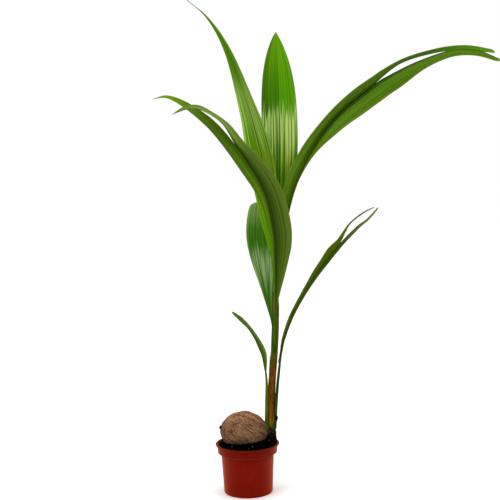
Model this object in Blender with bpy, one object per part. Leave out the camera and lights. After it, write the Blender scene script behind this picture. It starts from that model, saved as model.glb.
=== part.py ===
"""Potted coconut palm seedling: a husked nut in a plastic pot, its shoot, and seven leaves.

Metres, +Z up. The origin is the middle of the pot's flat underside, and the nut
lies along X with the shoot at its +X end. Leaves are thin blades that are split
where they fork.
"""

from dataclasses import dataclass
from math import atan2, cos, pi, radians, sin, tan

import bmesh
import bpy
from mathutils import Matrix, Vector, noise

GAP = 0.0003

# Pot
POT_HEIGHT = 0.148
LIP_RADIUS = 0.095
LIP_DEPTH = 0.004
BAND_TOP_RADIUS = 0.0905
BAND_FOOT_RADIUS = 0.0885
BAND_HEIGHT = 0.025
SHOULDER_HEIGHT = 0.005
WALL_TOP_RADIUS = 0.079
FOOT_RADIUS = 0.0725
FOOT_ROUNDING = 0.004
POT_WALL = 0.002
POT_FLOOR = 0.003
POT_SIDES = 40
DRAIN_HOLES = 8
DRAIN_RADIUS = 0.0045
DRAIN_CIRCLE = 0.052

# Compost
SOIL_RIM_Z = 0.140
SOIL_HEAP = 0.021
SOIL_ROUGHNESS = 0.0025
SOIL_LUMPS = 60
SOIL_RINGS = 7
SOIL_SIDES = 32

# Nut
NUT_CENTRE = Vector((-0.0080, 0.0, 0.184))
NUT_HALF_LENGTH = 0.0715
NUT_HALF_DEPTH = 0.060
NUT_HALF_HEIGHT = 0.057
NUT_RIDGE = 0.03
NUT_RIDGES = 3
NUT_NARROWING = 0.20
NUT_SHOULDER = 1.6
NUT_ROUGHNESS = 0.0015
NUT_LUMPS = 3.1
NUT_SEGMENTS = 26
NUT_RINGS = 15
NUB_RADIUS = 0.005
NUB_LENGTH = 0.006
NUB_SUNK = 0.001
NUB_LEAN = radians(10)

# Shoot: the stem's middle line and its radius by height
STEM_LINE = [
    (0.0745, 0.168),
    (0.0735, 0.255),
    (0.0780, 0.336),
    (0.0860, 0.426),
    (0.0900, 0.492),
    (0.0940, 0.600),
]
STEM_RADII = [
    (0.0088, 0.168),
    (0.0086, 0.380),
    (0.0100, 0.450),
    (0.0100, 0.500),
    (0.0088, 0.600),
]
STEM_SIDES = 16
STEM_ROWS = 20
SHEATH_SIDES = 20
SHEATH_ROWS = 10
SHEATH_WALL = 0.0015
SHEATH_CLEARANCE = 0.0005
SHEATH_FOOT_Z = 0.206
SHEATH_TOP_Z = 0.418
SHEATH_SLOPE = 0.012
MARGIN_TOP_Z = 0.568
MARGIN_HALF_ANGLE = radians(24)
COLLAR_RADIUS = 0.0165
COLLAR_FOOT_Z = 0.138
COLLAR_TOP_Z = 0.186
COLLAR_CENTRE_X = 0.0715
COLLAR_SIDES = 18
SOCKET_TOP_Z = 0.220

# Leaves
ACROSS = 4
LEAF_SHARE_THICK = 0.0102
ROWS_PER_METRE = 30
FEWEST_ROWS = 6
LINE_STEPS = 16
LOWEST_THICKNESS = 0.0022

# Leaf stalks
STALK_SIDES = 10
STALK_ROWS = 14
STALK_RADIUS = 0.0036
STALK_CIRCLE = 0.0048
STALK_RISE = 0.030
STALK_CLEAR = 0.0005
BLADE_FOOT_Z = 0.688


@dataclass(frozen=True)
class Half:
    """One side of a leaf's blade, from its rib to its outer edge."""

    width: float
    widest: float
    fold: tuple
    start: float = 0.0
    foot: float = 0.0030
    swell: float = 1.2
    taper: float = 2.0
    point: float = 1.0
    lobe: tuple = ()


@dataclass(frozen=True)
class Leaf:
    """A leaf: points along its rib, the way it faces, its two halves, and where it is split."""

    name: str
    rib: tuple
    faces: tuple
    left: Half
    right: Half
    bend: float = 1.0


def clear_scene():
    for thing in list(bpy.data.objects):
        bpy.data.objects.remove(thing)


def material(name, colour, roughness):
    made = bpy.data.materials.new(name)
    made.use_nodes = True
    shader = made.node_tree.nodes["Principled BSDF"]
    shader.inputs["Base Color"].default_value = (*colour, 1.0)
    shader.inputs["Roughness"].default_value = roughness
    shader.inputs["Metallic"].default_value = 0.0
    return made


def add_object(name, shape, finish, smooth_angle=40):
    mesh = bpy.data.meshes.new(name)
    shape.to_mesh(mesh)
    shape.free()
    mesh.materials.append(finish)
    mesh.shade_smooth()
    mesh.set_sharp_from_angle(angle=radians(smooth_angle))
    made = bpy.data.objects.new(name, mesh)
    bpy.context.scene.collection.objects.link(made)
    return made


def cut_away(body, cutter):
    """Take the cutter's shape out of a body. The cutter stays as a hidden guide."""
    cutter.hide_render = True
    cutter.display_type = "WIRE"
    cut = body.modifiers.new("cut", "BOOLEAN")
    cut.operation = "DIFFERENCE"
    cut.solver = "EXACT"
    cut.object = cutter


def between(table, z):
    """Read a value off a table of (value, height) pairs, in straight steps."""
    if z <= table[0][1]:
        return table[0][0]
    for (low, z_low), (high, z_high) in zip(table, table[1:]):
        if z <= z_high:
            return low + (high - low) * (z - z_low) / (z_high - z_low)
    return table[-1][0]


def blend(values, share):
    """Read evenly spaced values, from the start to the end, as one smooth run."""
    place = share * (len(values) - 1)
    step = min(int(place), len(values) - 2)
    part = place - step
    part = part * part * (3 - 2 * part)
    return values[step] * (1 - part) + values[step + 1] * part


def turned(profile, sides):
    """Spin a closed (radius, height) outline about Z into one closed body."""
    shape = bmesh.new()
    corners = [shape.verts.new((radius, 0, z)) for radius, z in profile]
    edges = [shape.edges.new(pair) for pair in zip(corners, corners[1:])]
    bmesh.ops.spin(
        shape, geom=corners + edges, axis=(0, 0, 1), cent=(0, 0, 0),
        angle=2 * pi, steps=sides, use_merge=True,
    )
    bmesh.ops.remove_doubles(shape, verts=shape.verts, dist=1e-6)
    bmesh.ops.recalc_face_normals(shape, faces=shape.faces)
    return shape


def hermite(points, tangents, step, part):
    """A point and its direction on the smooth curve from points[step] to the next."""
    start, end = points[step], points[step + 1]
    lead, trail = tangents[step], tangents[step + 1]
    p2, p3 = part * part, part**3
    place = (
        start * (2 * p3 - 3 * p2 + 1)
        + lead * (p3 - 2 * p2 + part)
        + end * (3 * p2 - 2 * p3)
        + trail * (p3 - p2)
    )
    way = (
        start * (6 * p2 - 6 * part)
        + lead * (3 * p2 - 4 * part + 1)
        + end * (6 * part - 6 * p2)
        + trail * (3 * p2 - 2 * part)
    )
    return place, way.normalized()


def smooth_line(points, rows, lead=None, trail=None):
    """Even rows of (point, direction, length so far) along a smooth curve."""
    points = [Vector(point) for point in points]
    tangents = [(after - before) / 2 for before, after in zip(points, points[2:])]
    tangents.insert(0, lead or points[1] - points[0])
    tangents.append(trail or points[-1] - points[-2])
    fine = [(*hermite(points, tangents, step, part / LINE_STEPS), 0.0)
            for step in range(len(points) - 1) for part in range(LINE_STEPS)]
    fine.append((*hermite(points, tangents, len(points) - 2, 1.0), 0.0))
    length = 0.0
    for index in range(1, len(fine)):
        length += (fine[index][0] - fine[index - 1][0]).length
        fine[index] = (fine[index][0], fine[index][1], length)
    line = []
    index = 0
    for row in range(rows + 1):
        wanted = length * row / rows
        while index < len(fine) - 2 and fine[index + 1][2] < wanted:
            index += 1
        low, high = fine[index], fine[index + 1]
        part = min(1.0, (wanted - low[2]) / (high[2] - low[2]))
        line.append((low[0].lerp(high[0], part), low[1].lerp(high[1], part).normalized(), wanted))
    return line


def stem_centre(z):
    return Vector((between(STEM_LINE, z), 0, z))


def beside_stem(z, heading, clear):
    """A point beside the stem at a height: heading in degrees, 0 is +X, -90 the front."""
    reach = between(STEM_RADII, z) + clear + GAP
    return stem_centre(z) + reach * Vector((cos(radians(heading)), sin(radians(heading)), 0))


def tube(line, radii, sides):
    """A round, closed tube along rows of (point, direction, length)."""
    shape = bmesh.new()
    rings = []
    for (place, way, _), radius in zip(line, radii):
        turn = way.to_track_quat("Z", "X").to_matrix().to_4x4()
        ring = bmesh.ops.create_circle(
            shape, cap_ends=False, radius=radius, segments=sides,
            matrix=Matrix.Translation(place) @ turn,
        )["verts"]
        rings.append(list(dict.fromkeys(edge for vert in ring for edge in vert.link_edges)))
    for low, high in zip(rings, rings[1:]):
        bmesh.ops.bridge_loops(shape, edges=low + high)
    for ring in (rings[0], rings[-1]):
        bmesh.ops.contextual_create(shape, geom=ring)
    bmesh.ops.recalc_face_normals(shape, faces=shape.faces)
    return shape


def thicken(made, thickness):
    wall = made.modifiers.new("wall", "SOLIDIFY")
    wall.thickness = thickness
    wall.offset = 0
    wall.use_even_offset = True
    return made


def half_width(half, share):
    """How far a half reaches from its rib at a share of its length."""
    if share <= half.start:
        return half.foot
    if share < half.widest:
        part = (share - half.start) / (half.widest - half.start)
        return half.foot + (half.width - half.foot) * sin(part * pi / 2) ** half.swell
    part = min(1.0, (share - half.widest) / (1 - half.widest))
    return half.width * (1 - part**half.taper) ** half.point


def rows_along(points):
    length = sum((Vector(b) - Vector(a)).length for a, b in zip(points, points[1:]))
    return max(FEWEST_ROWS, round(length * ROWS_PER_METRE))


def leaf_rows(leaf, half):
    """Rows of (point, direction, share) on a half's rib and on its lobe, and the length of both."""
    rib = [Vector(point) for point in leaf.rib]
    lobes = [Vector(other.lobe[0]) for other in (leaf.left, leaf.right) if other.lobe]
    fork = (sum(lobes, Vector()) / 2 - rib[-2]) / 2 if lobes else None
    rows = smooth_line(rib, rows_along(rib), trail=fork)
    lobe_rows = []
    total = rows[-1][2]
    if half.lobe:
        points = [rib[-1], *half.lobe]
        lobe_rows = smooth_line(points, rows_along(points), lead=fork)
        total += lobe_rows[-1][2]
    on_rib = [(place, way, length / total) for place, way, length in rows]
    on_lobe = [(place, way, (rows[-1][2] + length) / total) for place, way, length in lobe_rows]
    return on_rib, on_lobe, total


def across(leaf, half, side, row, from_rib=0.0):
    """Points from the rib to the outer edge of a half at one row."""
    place, way, share = row
    facing = blend([Vector(face) for face in leaf.faces], share)
    up = (facing - way * facing.dot(way)).normalized()
    out = way.cross(up) * side
    fold = radians(blend(half.fold, share))
    reach = out * cos(fold) + up * sin(fold)
    width = half_width(half, share)
    first = min(from_rib, width * 0.5)
    return [place + reach * (first + (width - first) * step / ACROSS) for step in range(ACROSS + 1)]


def sheet(grids):
    """One smooth sheet from grids of points that share an edge or stand alone."""
    shape = bmesh.new()
    for grid in grids:
        rows, columns = len(grid), len(grid[0])
        made = bmesh.ops.create_grid(
            shape, x_segments=columns - 1, y_segments=rows - 1, size=0.5)["verts"]
        for vert in made:
            column = round((vert.co.x + 0.5) * (columns - 1))
            row = round((vert.co.y + 0.5) * (rows - 1))
            vert.co = grid[row][column]
    bmesh.ops.remove_doubles(shape, verts=shape.verts, dist=1e-5)
    bmesh.ops.recalc_face_normals(shape, faces=shape.faces)
    return shape


def add_leaf(leaf, finish):
    """Make a leaf's blade, its lobes where it forks, and its tip where it is split at a bend."""
    halves = ((leaf.left, -1), (leaf.right, 1))
    ribs = []
    for half, side in halves:
        on_rib, on_lobe, total = leaf_rows(leaf, half)
        ribs.append(on_rib)
        if not on_lobe:
            continue
        length = total * (1 - on_rib[-1][2])
        thickness = max(LOWEST_THICKNESS, length * LEAF_SHARE_THICK)
        fold = radians(abs(blend(half.fold, on_lobe[0][2])))
        inset = thickness / 2 * tan(fold) + GAP
        place, way, share = on_lobe[0]
        on_lobe[0] = (place + way * GAP, way, share)
        points = [across(leaf, half, side, row, inset) for row in on_lobe]
        lobe_name = f"{leaf.name}_{'left' if side < 0 else 'right'}_lobe"
        thicken(add_object(lobe_name, sheet([points]), finish), thickness)
    length = sum((after[0] - before[0]).length for before, after in zip(ribs[0], ribs[0][1:]))
    thickness = max(LOWEST_THICKNESS, length * LEAF_SHARE_THICK)
    split = round(leaf.bend * (len(ribs[0]) - 1))
    blade = [[across(leaf, half, side, row) for row in rib[:split + 1]]
             for rib, (half, side) in zip(ribs, halves)]
    thicken(add_object(f"{leaf.name}_blade", sheet(blade), finish), thickness)
    if split < len(ribs[0]) - 1:
        place, way, share = ribs[0][split]
        turn = ribs[0][split - 1][1].angle(ribs[0][split + 1][1])
        beyond = (place + way * (thickness / 2 * tan(turn / 2) + GAP), way, share)
        tip = [[across(leaf, half, side, row) for row in (beyond, *rib[split + 1:])]
               for rib, (half, side) in zip(ribs, halves)]
        thicken(add_object(f"{leaf.name}_tip", sheet(tip), finish), thickness)


def add_stalk(name, points, radii, finish):
    line = smooth_line(points, STALK_ROWS)
    widths = [radii[0] + (radii[1] - radii[0]) * row / STALK_ROWS for row in range(STALK_ROWS + 1)]
    return add_object(name, tube(line, widths, STALK_SIDES), finish)


def add_pot(finish):
    band_foot = POT_HEIGHT - BAND_HEIGHT
    wall_top = band_foot - SHOULDER_HEIGHT
    outside = [
        (0, 0),
        (FOOT_RADIUS - FOOT_ROUNDING, 0),
        (FOOT_RADIUS - FOOT_ROUNDING * 0.3, FOOT_ROUNDING * 0.3),
        (FOOT_RADIUS, FOOT_ROUNDING),
        (WALL_TOP_RADIUS, wall_top),
        (BAND_FOOT_RADIUS - 0.0015, band_foot - 0.0012),
        (BAND_FOOT_RADIUS, band_foot),
        (BAND_TOP_RADIUS, POT_HEIGHT - LIP_DEPTH),
        (LIP_RADIUS - 0.0006, POT_HEIGHT - LIP_DEPTH),
        (LIP_RADIUS, POT_HEIGHT - LIP_DEPTH / 2),
        (LIP_RADIUS - 0.0006, POT_HEIGHT),
    ]
    inside = [
        (BAND_TOP_RADIUS - POT_WALL / 2, POT_HEIGHT),
        (BAND_TOP_RADIUS - POT_WALL, POT_HEIGHT - POT_WALL),
        (BAND_FOOT_RADIUS - POT_WALL, band_foot + POT_WALL / 2),
        (WALL_TOP_RADIUS - POT_WALL, wall_top + POT_WALL),
        (FOOT_RADIUS - POT_WALL, POT_FLOOR),
        (0, POT_FLOOR),
    ]
    pot = add_object("pot", turned(outside + inside, POT_SIDES), finish)
    drills = bmesh.new()
    for hole in range(DRAIN_HOLES):
        angle = 2 * pi * hole / DRAIN_HOLES
        place = Matrix.Translation((DRAIN_CIRCLE * cos(angle), DRAIN_CIRCLE * sin(angle), 0))
        bmesh.ops.create_cone(
            drills, cap_ends=True, radius1=DRAIN_RADIUS, radius2=DRAIN_RADIUS,
            depth=POT_FLOOR * 4, segments=8, matrix=place,
        )
    cut_away(pot, add_object("drain_drills", drills, finish))
    return pot


def nut_shape(grow=0.0):
    """The husked nut, its long axis on X, with soft ridges and a narrower shoot end."""
    shape = bmesh.new()
    bmesh.ops.create_uvsphere(
        shape, u_segments=NUT_SEGMENTS, v_segments=NUT_RINGS, radius=1,
        matrix=Matrix.Rotation(pi / 2, 4, "Y"),
    )
    for vert in shape.verts:
        unit = vert.co.normalized()
        round_x = atan2(unit.y, unit.z)
        ridge = 1 + NUT_RIDGE * (1 - unit.x**2) * cos(NUT_RIDGES * round_x)
        narrow = 1 - NUT_NARROWING * max(0.0, unit.x) ** NUT_SHOULDER
        rough = NUT_ROUGHNESS * noise.noise(unit * NUT_LUMPS)
        vert.co = NUT_CENTRE + Vector((
            unit.x * (NUT_HALF_LENGTH + grow + rough),
            unit.y * narrow * ridge * (NUT_HALF_DEPTH + grow + rough),
            unit.z * narrow * ridge * (NUT_HALF_HEIGHT + grow + rough),
        ))
    bmesh.ops.recalc_face_normals(shape, faces=shape.faces)
    bmesh.ops.triangulate(shape, faces=shape.faces)
    return shape


def add_nut(finish, dark):
    nut = add_object("nut", nut_shape(), finish, smooth_angle=60)
    nub = bmesh.new()
    lean = Matrix.Rotation(NUB_LEAN - pi / 2, 4, "Y")
    foot = NUT_CENTRE + lean @ Vector((0, 0, NUT_HALF_LENGTH - NUB_SUNK))
    bmesh.ops.create_cone(
        nub, cap_ends=True, radius1=NUB_RADIUS, radius2=NUB_RADIUS * 0.6, depth=NUB_LENGTH,
        segments=12, matrix=Matrix.Translation(foot) @ lean,
    )
    cut_away(add_object("nut_nub", nub, dark), guide("nut_room", nut_shape(GAP), dark))
    return nut


def guide(name, shape, finish):
    """A shape used only to cut others."""
    made = add_object(name, shape, finish)
    made.hide_render = True
    made.display_type = "WIRE"
    return made


def collar_shape(grow=0.0):
    """The dark, rough crown that the shoot grows from."""
    height = COLLAR_TOP_Z - COLLAR_FOOT_Z
    profile = [
        (0, COLLAR_FOOT_Z - grow),
        (COLLAR_RADIUS * 0.85 + grow, COLLAR_FOOT_Z - grow),
        (COLLAR_RADIUS + grow, COLLAR_FOOT_Z + height * 0.35),
        (COLLAR_RADIUS * 0.88 + grow, COLLAR_FOOT_Z + height * 0.72),
        (COLLAR_RADIUS * 0.62 + grow, COLLAR_TOP_Z + grow),
        (0, COLLAR_TOP_Z + grow),
    ]
    shape = turned(profile, COLLAR_SIDES)
    bmesh.ops.translate(shape, verts=shape.verts, vec=(COLLAR_CENTRE_X, 0, 0))
    return shape


def stem_shape(grow=0.0, foot=STEM_LINE[0][1], top=STEM_LINE[-1][1]):
    heights = [foot + (top - foot) * row / STEM_ROWS for row in range(STEM_ROWS + 1)]
    line = [(stem_centre(z), Vector((0, 0, 1)), z) for z in heights]
    return tube(line, [between(STEM_RADII, z) + grow for z in heights], STEM_SIDES)


def stem_skin(z, angle):
    """A point on the middle of the dry sheath's wall, round the stem."""
    radius = between(STEM_RADII, z) + SHEATH_CLEARANCE + SHEATH_WALL / 2
    return stem_centre(z) + radius * Vector((cos(angle), sin(angle), 0))


def add_sheath(finish):
    """The brown leaf sheath round the stem, just clear of it, and its long +X margin."""
    tube_grid = []
    for row in range(SHEATH_ROWS + 1):
        ring = []
        for side in range(SHEATH_SIDES + 1):
            angle = 2 * pi * (side % SHEATH_SIDES) / SHEATH_SIDES
            top = SHEATH_TOP_Z + SHEATH_SLOPE * cos(angle)
            ring.append(stem_skin(SHEATH_FOOT_Z + (top - SHEATH_FOOT_Z) * row / SHEATH_ROWS, angle))
        tube_grid.append(ring)
    thicken(add_object("sheath", sheet([tube_grid]), finish), SHEATH_WALL)
    margin_foot = SHEATH_TOP_Z + SHEATH_SLOPE + 2 * GAP
    margin_grid = []
    for row in range(SHEATH_ROWS + 1):
        share = row / SHEATH_ROWS
        half_angle = MARGIN_HALF_ANGLE * (1 - share * share)
        z = margin_foot + (MARGIN_TOP_Z - margin_foot) * share
        margin_grid.append([stem_skin(z, half_angle * side) for side in (-1, -0.5, 0, 0.5, 1)])
    thicken(add_object("sheath_margin", sheet([margin_grid]), finish), SHEATH_WALL)


def add_collar(finish):
    collar = add_object("shoot_collar", collar_shape(), finish)
    cut_away(collar, guide("nut_seat", nut_shape(GAP), finish))
    socket = stem_shape(GAP, foot=STEM_LINE[0][1] - GAP, top=SOCKET_TOP_Z)
    cut_away(collar, guide("stem_socket", socket, finish))
    return collar


def add_soil(finish):
    """Compost in the pot, heaped round the nut, with a pocket for what sits in it."""
    wall_top = POT_HEIGHT - BAND_HEIGHT - SHOULDER_HEIGHT
    low = POT_WALL + GAP
    profile = [
        (0, POT_FLOOR + GAP),
        (FOOT_RADIUS - low, POT_FLOOR + GAP),
        (WALL_TOP_RADIUS - low, wall_top + POT_WALL),
        (BAND_FOOT_RADIUS - low, POT_HEIGHT - BAND_HEIGHT + POT_WALL / 2 + GAP),
        (BAND_FOOT_RADIUS - low + 0.001, SOIL_RIM_Z),
    ]
    edge = profile[-1][0]
    for ring in range(1, SOIL_RINGS):
        inward = ring / SOIL_RINGS
        heap = SOIL_HEAP * sin(min(1.0, inward * 2) * pi / 2)
        profile.append((edge * (1 - inward), SOIL_RIM_Z + heap))
    profile.append((0, SOIL_RIM_Z + SOIL_HEAP))
    shape = turned(profile, SOIL_SIDES)
    for vert in shape.verts:
        if vert.co.z > SOIL_RIM_Z + 0.001:
            vert.co.z += SOIL_ROUGHNESS * noise.noise(vert.co * SOIL_LUMPS)
    soil = add_object("compost", shape, finish)
    cut_away(soil, guide("nut_pocket", nut_shape(GAP), finish))
    cut_away(soil, guide("collar_pocket", collar_shape(GAP), finish))
    return soil


def leaves():
    """The seven leaves, oldest first."""
    front = (0, -1, 0)
    return [
        Leaf(
            name="leaf_1_small_left",
            rib=(
                (0.0590, -0.0070, 0.3650), (0.056, -0.010, 0.412), (0.044, -0.015, 0.446),
                (0.019, -0.025, 0.491), (-0.008, -0.035, 0.526), (-0.036, -0.045, 0.551),
            ),
            faces=((0.3, -0.9, 0.3), (0.3, -0.9, 0.3)),
            left=Half(0.0080, 0.45, (10, 20, 0), taper=2.0, foot=0.0022),
            right=Half(0.0080, 0.45, (10, 20, 0), taper=2.0, foot=0.0022),
        ),
        Leaf(
            name="leaf_2_slender_right",
            rib=(
                (0.149, 0.015, 0.541), (0.207, 0.028, 0.636), (0.255, 0.038, 0.696),
                (0.286, 0.045, 0.730),
            ),
            faces=((-0.3, -0.9, 0.2), (-0.3, -0.9, 0.2)),
            left=Half(0.0190, 0.52, (10, 22, 10), swell=1.8, taper=0.9,
                      lobe=((0.328, 0.050, 0.801), (0.365, 0.058, 0.828), (0.399, 0.065, 0.840))),
            right=Half(0.0145, 0.50, (10, 25, 10), swell=1.4, taper=2.2, point=0.8,
                       lobe=((0.339, 0.050, 0.782), (0.364, 0.050, 0.799), (0.404, 0.050, 0.839))),
        ),
        Leaf(
            name="leaf_3_back",
            rib=(
                tuple(beside_stem(0.455, 100, 0.0036)), (0.083, 0.022, 0.505), (0.076, 0.050, 0.569),
                (0.073, 0.110, 0.682), (0.077, 0.180, 0.786), (0.082, 0.250, 0.838),
                (0.086, 0.320, 0.830), (0.090, 0.375, 0.775),
            ),
            faces=(front, (0, -0.9, 0.4), (0, -0.2, 1)),
            left=Half(0.064, 0.54, (10, 20, 0), start=0.06, swell=1.9, taper=2.6),
            right=Half(0.062, 0.54, (10, 20, 0), start=0.06, swell=1.9, taper=2.6),
            bend=0.62,
        ),
        Leaf(
            name="leaf_4_front_left",
            rib=(
                tuple(beside_stem(0.515, -92, 0.0036)), tuple(beside_stem(0.570, -91, 0.0038)),
                (0.0935, -0.0190, 0.640), (0.093, -0.030, 0.700), (0.091, -0.050, 0.770),
                (0.075, -0.080, 0.862), (0.055, -0.105, 0.920), (0.022, -0.138, 0.979),
                (-0.008, -0.165, 1.028),
            ),
            faces=(front, (-0.1, -0.9, -0.3), (-0.3, -0.9, -0.3)),
            left=Half(0.0292, 0.68, (10, 30, 30, 10), start=0.20, swell=1.05, taper=1.9,
                      lobe=((-0.062, -0.195, 1.096), (-0.128, -0.225, 1.146), (-0.186, -0.245, 1.170),
                            (-0.228, -0.260, 1.161))),
            right=Half(0.057, 0.38, (10, 10, 10, 12, 18, 38, 56, 0), start=0.04, swell=1.35, taper=2.6,
                       lobe=((-0.046, -0.205, 1.095), (-0.096, -0.255, 1.130), (-0.134, -0.280, 1.132),
                             (-0.176, -0.300, 1.117))),
        ),
        Leaf(
            name="leaf_5_right",
            rib=(
                (0.106, -0.003, BLADE_FOOT_Z), (0.131, -0.008, 0.809), (0.157, 0.000, 0.900),
                (0.194, 0.030, 0.976), (0.247, 0.070, 1.060), (0.314, 0.120, 1.131),
                (0.406, 0.180, 1.200),
            ),
            faces=((-0.2, -1, 0.2), (-0.2, -1, 0.2)),
            left=Half(0.0345, 0.27, (10, 15, 18, 15, 50, 58, 60, 74, 88, 80, 20, 0), taper=2.2, point=0.6,
                      lobe=((0.498, 0.222, 1.267), (0.611, 0.258, 1.300), (0.702, 0.282, 1.308),
                            (0.802, 0.302, 1.300))),
            right=Half(0.0585, 0.58, (75, 74, 72, 62, 25, 18, 8, 0, 26, 30, 10, 0), start=0.24,
                       taper=1.1, point=0.75,
                       lobe=((0.466, 0.205, 1.235), (0.560, 0.234, 1.277), (0.664, 0.256, 1.308),
                             (0.746, 0.272, 1.307), (0.820, 0.290, 1.281))),
        ),
        Leaf(
            name="leaf_6_tall_left",
            rib=(
                (0.088, -0.004, BLADE_FOOT_Z), (0.070, 0.002, 0.917), (0.045, 0.012, 1.046),
                (0.022, 0.022, 1.142), (-0.027, 0.038, 1.299), (-0.084, 0.048, 1.400),
                (-0.155, 0.060, 1.465),
            ),
            faces=(front, front),
            left=Half(0.043, 0.38, (10, 30, 0), foot=0.0035, taper=1.0, point=1.55),
            right=Half(0.045, 0.42, (10, 30, 0), foot=0.0035, taper=1.0, point=1.65),
        ),
        Leaf(
            name="leaf_7_upright",
            rib=(
                (0.097, 0.0075, BLADE_FOOT_Z), (0.111, 0.038, 0.860), (0.117, 0.060, 1.014),
                (0.118, 0.088, 1.191), (0.114, 0.115, 1.364),
            ),
            faces=(front, front),
            left=Half(0.054, 0.52, (10, 12, 0), foot=0.0035, taper=3.5),
            right=Half(0.054, 0.52, (10, 12, 0), foot=0.0035, taper=2.95),
        ),
    ]


def add_stalks(finish):
    """The free leaf stalks, from the stem to where each blade begins."""
    beside = SHEATH_CLEARANCE + SHEATH_WALL + STALK_RADIUS
    add_stalk("leaf_1_stalk", (
        beside_stem(0.215, 200, beside), beside_stem(0.255, 200, beside),
        beside_stem(0.320, 198, beside + 0.001), Vector((0.0590, -0.0070, 0.3645)),
    ), (STALK_RADIUS, 0.0028), finish)
    add_stalk("leaf_2_stalk", (
        beside_stem(0.215, -28, beside), beside_stem(0.255, -28, beside),
        beside_stem(0.320, -26, beside), beside_stem(0.378, -18, beside + 0.0015),
        Vector((0.1065, -0.003, 0.419)), Vector((0.117, 0.003, 0.463)), Vector((0.1488, 0.015, 0.5405)),
    ), (STALK_RADIUS, 0.0030), finish)
    top = STEM_LINE[-1]
    for name, heading, end_x, end_y in (
        ("leaf_5_stalk", -25, 0.106, -0.003),
        ("leaf_6_stalk", -155, 0.088, -0.004),
        ("leaf_7_stalk", 90, 0.097, 0.0075),
    ):
        side = Vector((cos(radians(heading)), sin(radians(heading)), 0))
        foot = Vector((top[0], 0, top[1] + GAP)) + STALK_CIRCLE * side
        rise = foot + Vector((0, 0, STALK_RISE))
        end = Vector((end_x, end_y, BLADE_FOOT_Z - STALK_CLEAR))
        add_stalk(name, (foot, rise, end), (STALK_RADIUS, STALK_RADIUS), finish)


def main():
    clear_scene()
    plastic = material("pot_plastic", (0.20, 0.010, 0.002), 0.38)
    earth = material("compost", (0.008, 0.006, 0.005), 0.95)
    husk = material("nut_husk", (0.26, 0.15, 0.09), 0.90)
    bark = material("dry_sheath", (0.16, 0.06, 0.02), 0.80)
    dark = material("dark_fibre", (0.02, 0.010, 0.006), 0.90)
    green = material("leaf_green", (0.10, 0.24, 0.01), 0.35)
    stalk = material("stalk_green", (0.05, 0.14, 0.01), 0.45)
    add_pot(plastic)
    add_soil(earth)
    add_nut(husk, dark)
    add_collar(dark)
    add_object("stem", stem_shape(), stalk)
    add_sheath(bark)
    add_stalks(stalk)
    for leaf in leaves():
        add_leaf(leaf, green)


main()
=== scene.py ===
# Potted coconut palm seedling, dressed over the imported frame.
# Metres, +Z up. The origin is the middle of the pot's underside, the nut lies
# along X, and the reference view looks along +Y.

import random
from dataclasses import dataclass
from math import atan2, cos, pi, radians, sin

import bmesh
import bpy
from mathutils import Matrix, Vector, noise


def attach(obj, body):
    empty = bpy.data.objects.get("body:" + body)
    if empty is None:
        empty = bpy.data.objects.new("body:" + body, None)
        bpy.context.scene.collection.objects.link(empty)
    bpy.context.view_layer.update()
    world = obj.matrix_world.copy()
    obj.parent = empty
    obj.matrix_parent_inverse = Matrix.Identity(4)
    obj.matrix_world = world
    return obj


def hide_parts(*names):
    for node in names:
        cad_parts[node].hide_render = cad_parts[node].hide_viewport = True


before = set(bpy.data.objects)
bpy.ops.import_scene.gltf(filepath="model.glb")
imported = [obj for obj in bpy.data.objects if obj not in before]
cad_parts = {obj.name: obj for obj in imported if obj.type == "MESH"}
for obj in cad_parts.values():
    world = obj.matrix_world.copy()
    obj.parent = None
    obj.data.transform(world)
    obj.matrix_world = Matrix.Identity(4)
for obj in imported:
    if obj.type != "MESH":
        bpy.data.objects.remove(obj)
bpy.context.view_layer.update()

# A millimetre, and the gaps that close at a seam and at a pole
MM = 0.001
SEAM = 2e-5
POLE = 1e-6

# Pot
POT_HEIGHT = 0.148
LIP_RADIUS = 0.095
LIP_DEPTH = 0.004
BAND_TOP_RADIUS = 0.0905
BAND_FOOT_RADIUS = 0.0885
BAND_HEIGHT = 0.025
SHOULDER_HEIGHT = 0.005
WALL_TOP_RADIUS = 0.079
FOOT_RADIUS = 0.0725
POT_WALL = 0.002
POT_FLOOR = 0.003
FOOT_HOLLOW = 0.0008
POT_SIDES = 120
DRAIN_HOLES = 8
DRAIN_RADIUS = 0.0045
DRAIN_CIRCLE = 0.052

# Compost
SOIL_RIM_Z = 0.140
SOIL_HEAP = 0.021
SOIL_SIDES = 144
SOIL_RINGS = 36
CRUMBS = 520
CRUMB_SIZES = (0.0009, 0.0030)
SPECKS = 5
SPECK_SIZES = (0.0011, 0.0018)

# Nut
NUT_CENTRE = Vector((-0.0080, 0.0, 0.184))
NUT_HALF = Vector((0.0715, 0.060, 0.057))
NUT_RIDGE = 0.03
NUT_NARROWING = 0.20
NUT_SHOULDER = 1.6
NUB_RADII = (0.0072, 0.0046)
NUB_LENGTH = 0.0066
NUB_TILT = radians(10)
HUSK_STRANDS = 620
HUSK_STRAND_RADIUS = 0.00022
HUSK_RINGS = 300
HUSK_ROWS = 190
HUSK_CRACKS = [
    ((-0.06, -0.90, 0.46), (0.62, -0.78, -0.18), 0.040, 0.0024),
    ((0.28, -0.88, 0.36), (0.80, -0.58, -0.05), 0.034, 0.0022),
    ((-0.62, -0.72, 0.25), (-0.30, -0.86, -0.10), 0.045, 0.0016),
    ((-0.80, -0.55, -0.12), (0.15, -0.85, -0.50), 0.050, 0.0020),
    ((-0.35, -0.30, 0.88), (0.30, -0.55, 0.78), 0.035, 0.0014),
    ((-0.70, 0.40, 0.55), (0.35, 0.75, 0.45), 0.045, 0.0022),
    ((-0.30, 0.95, 0.05), (0.70, 0.60, 0.10), 0.040, 0.0022),
    ((-0.10, 0.50, 0.86), (0.60, 0.15, 0.75), 0.035, 0.0018),
]

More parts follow.
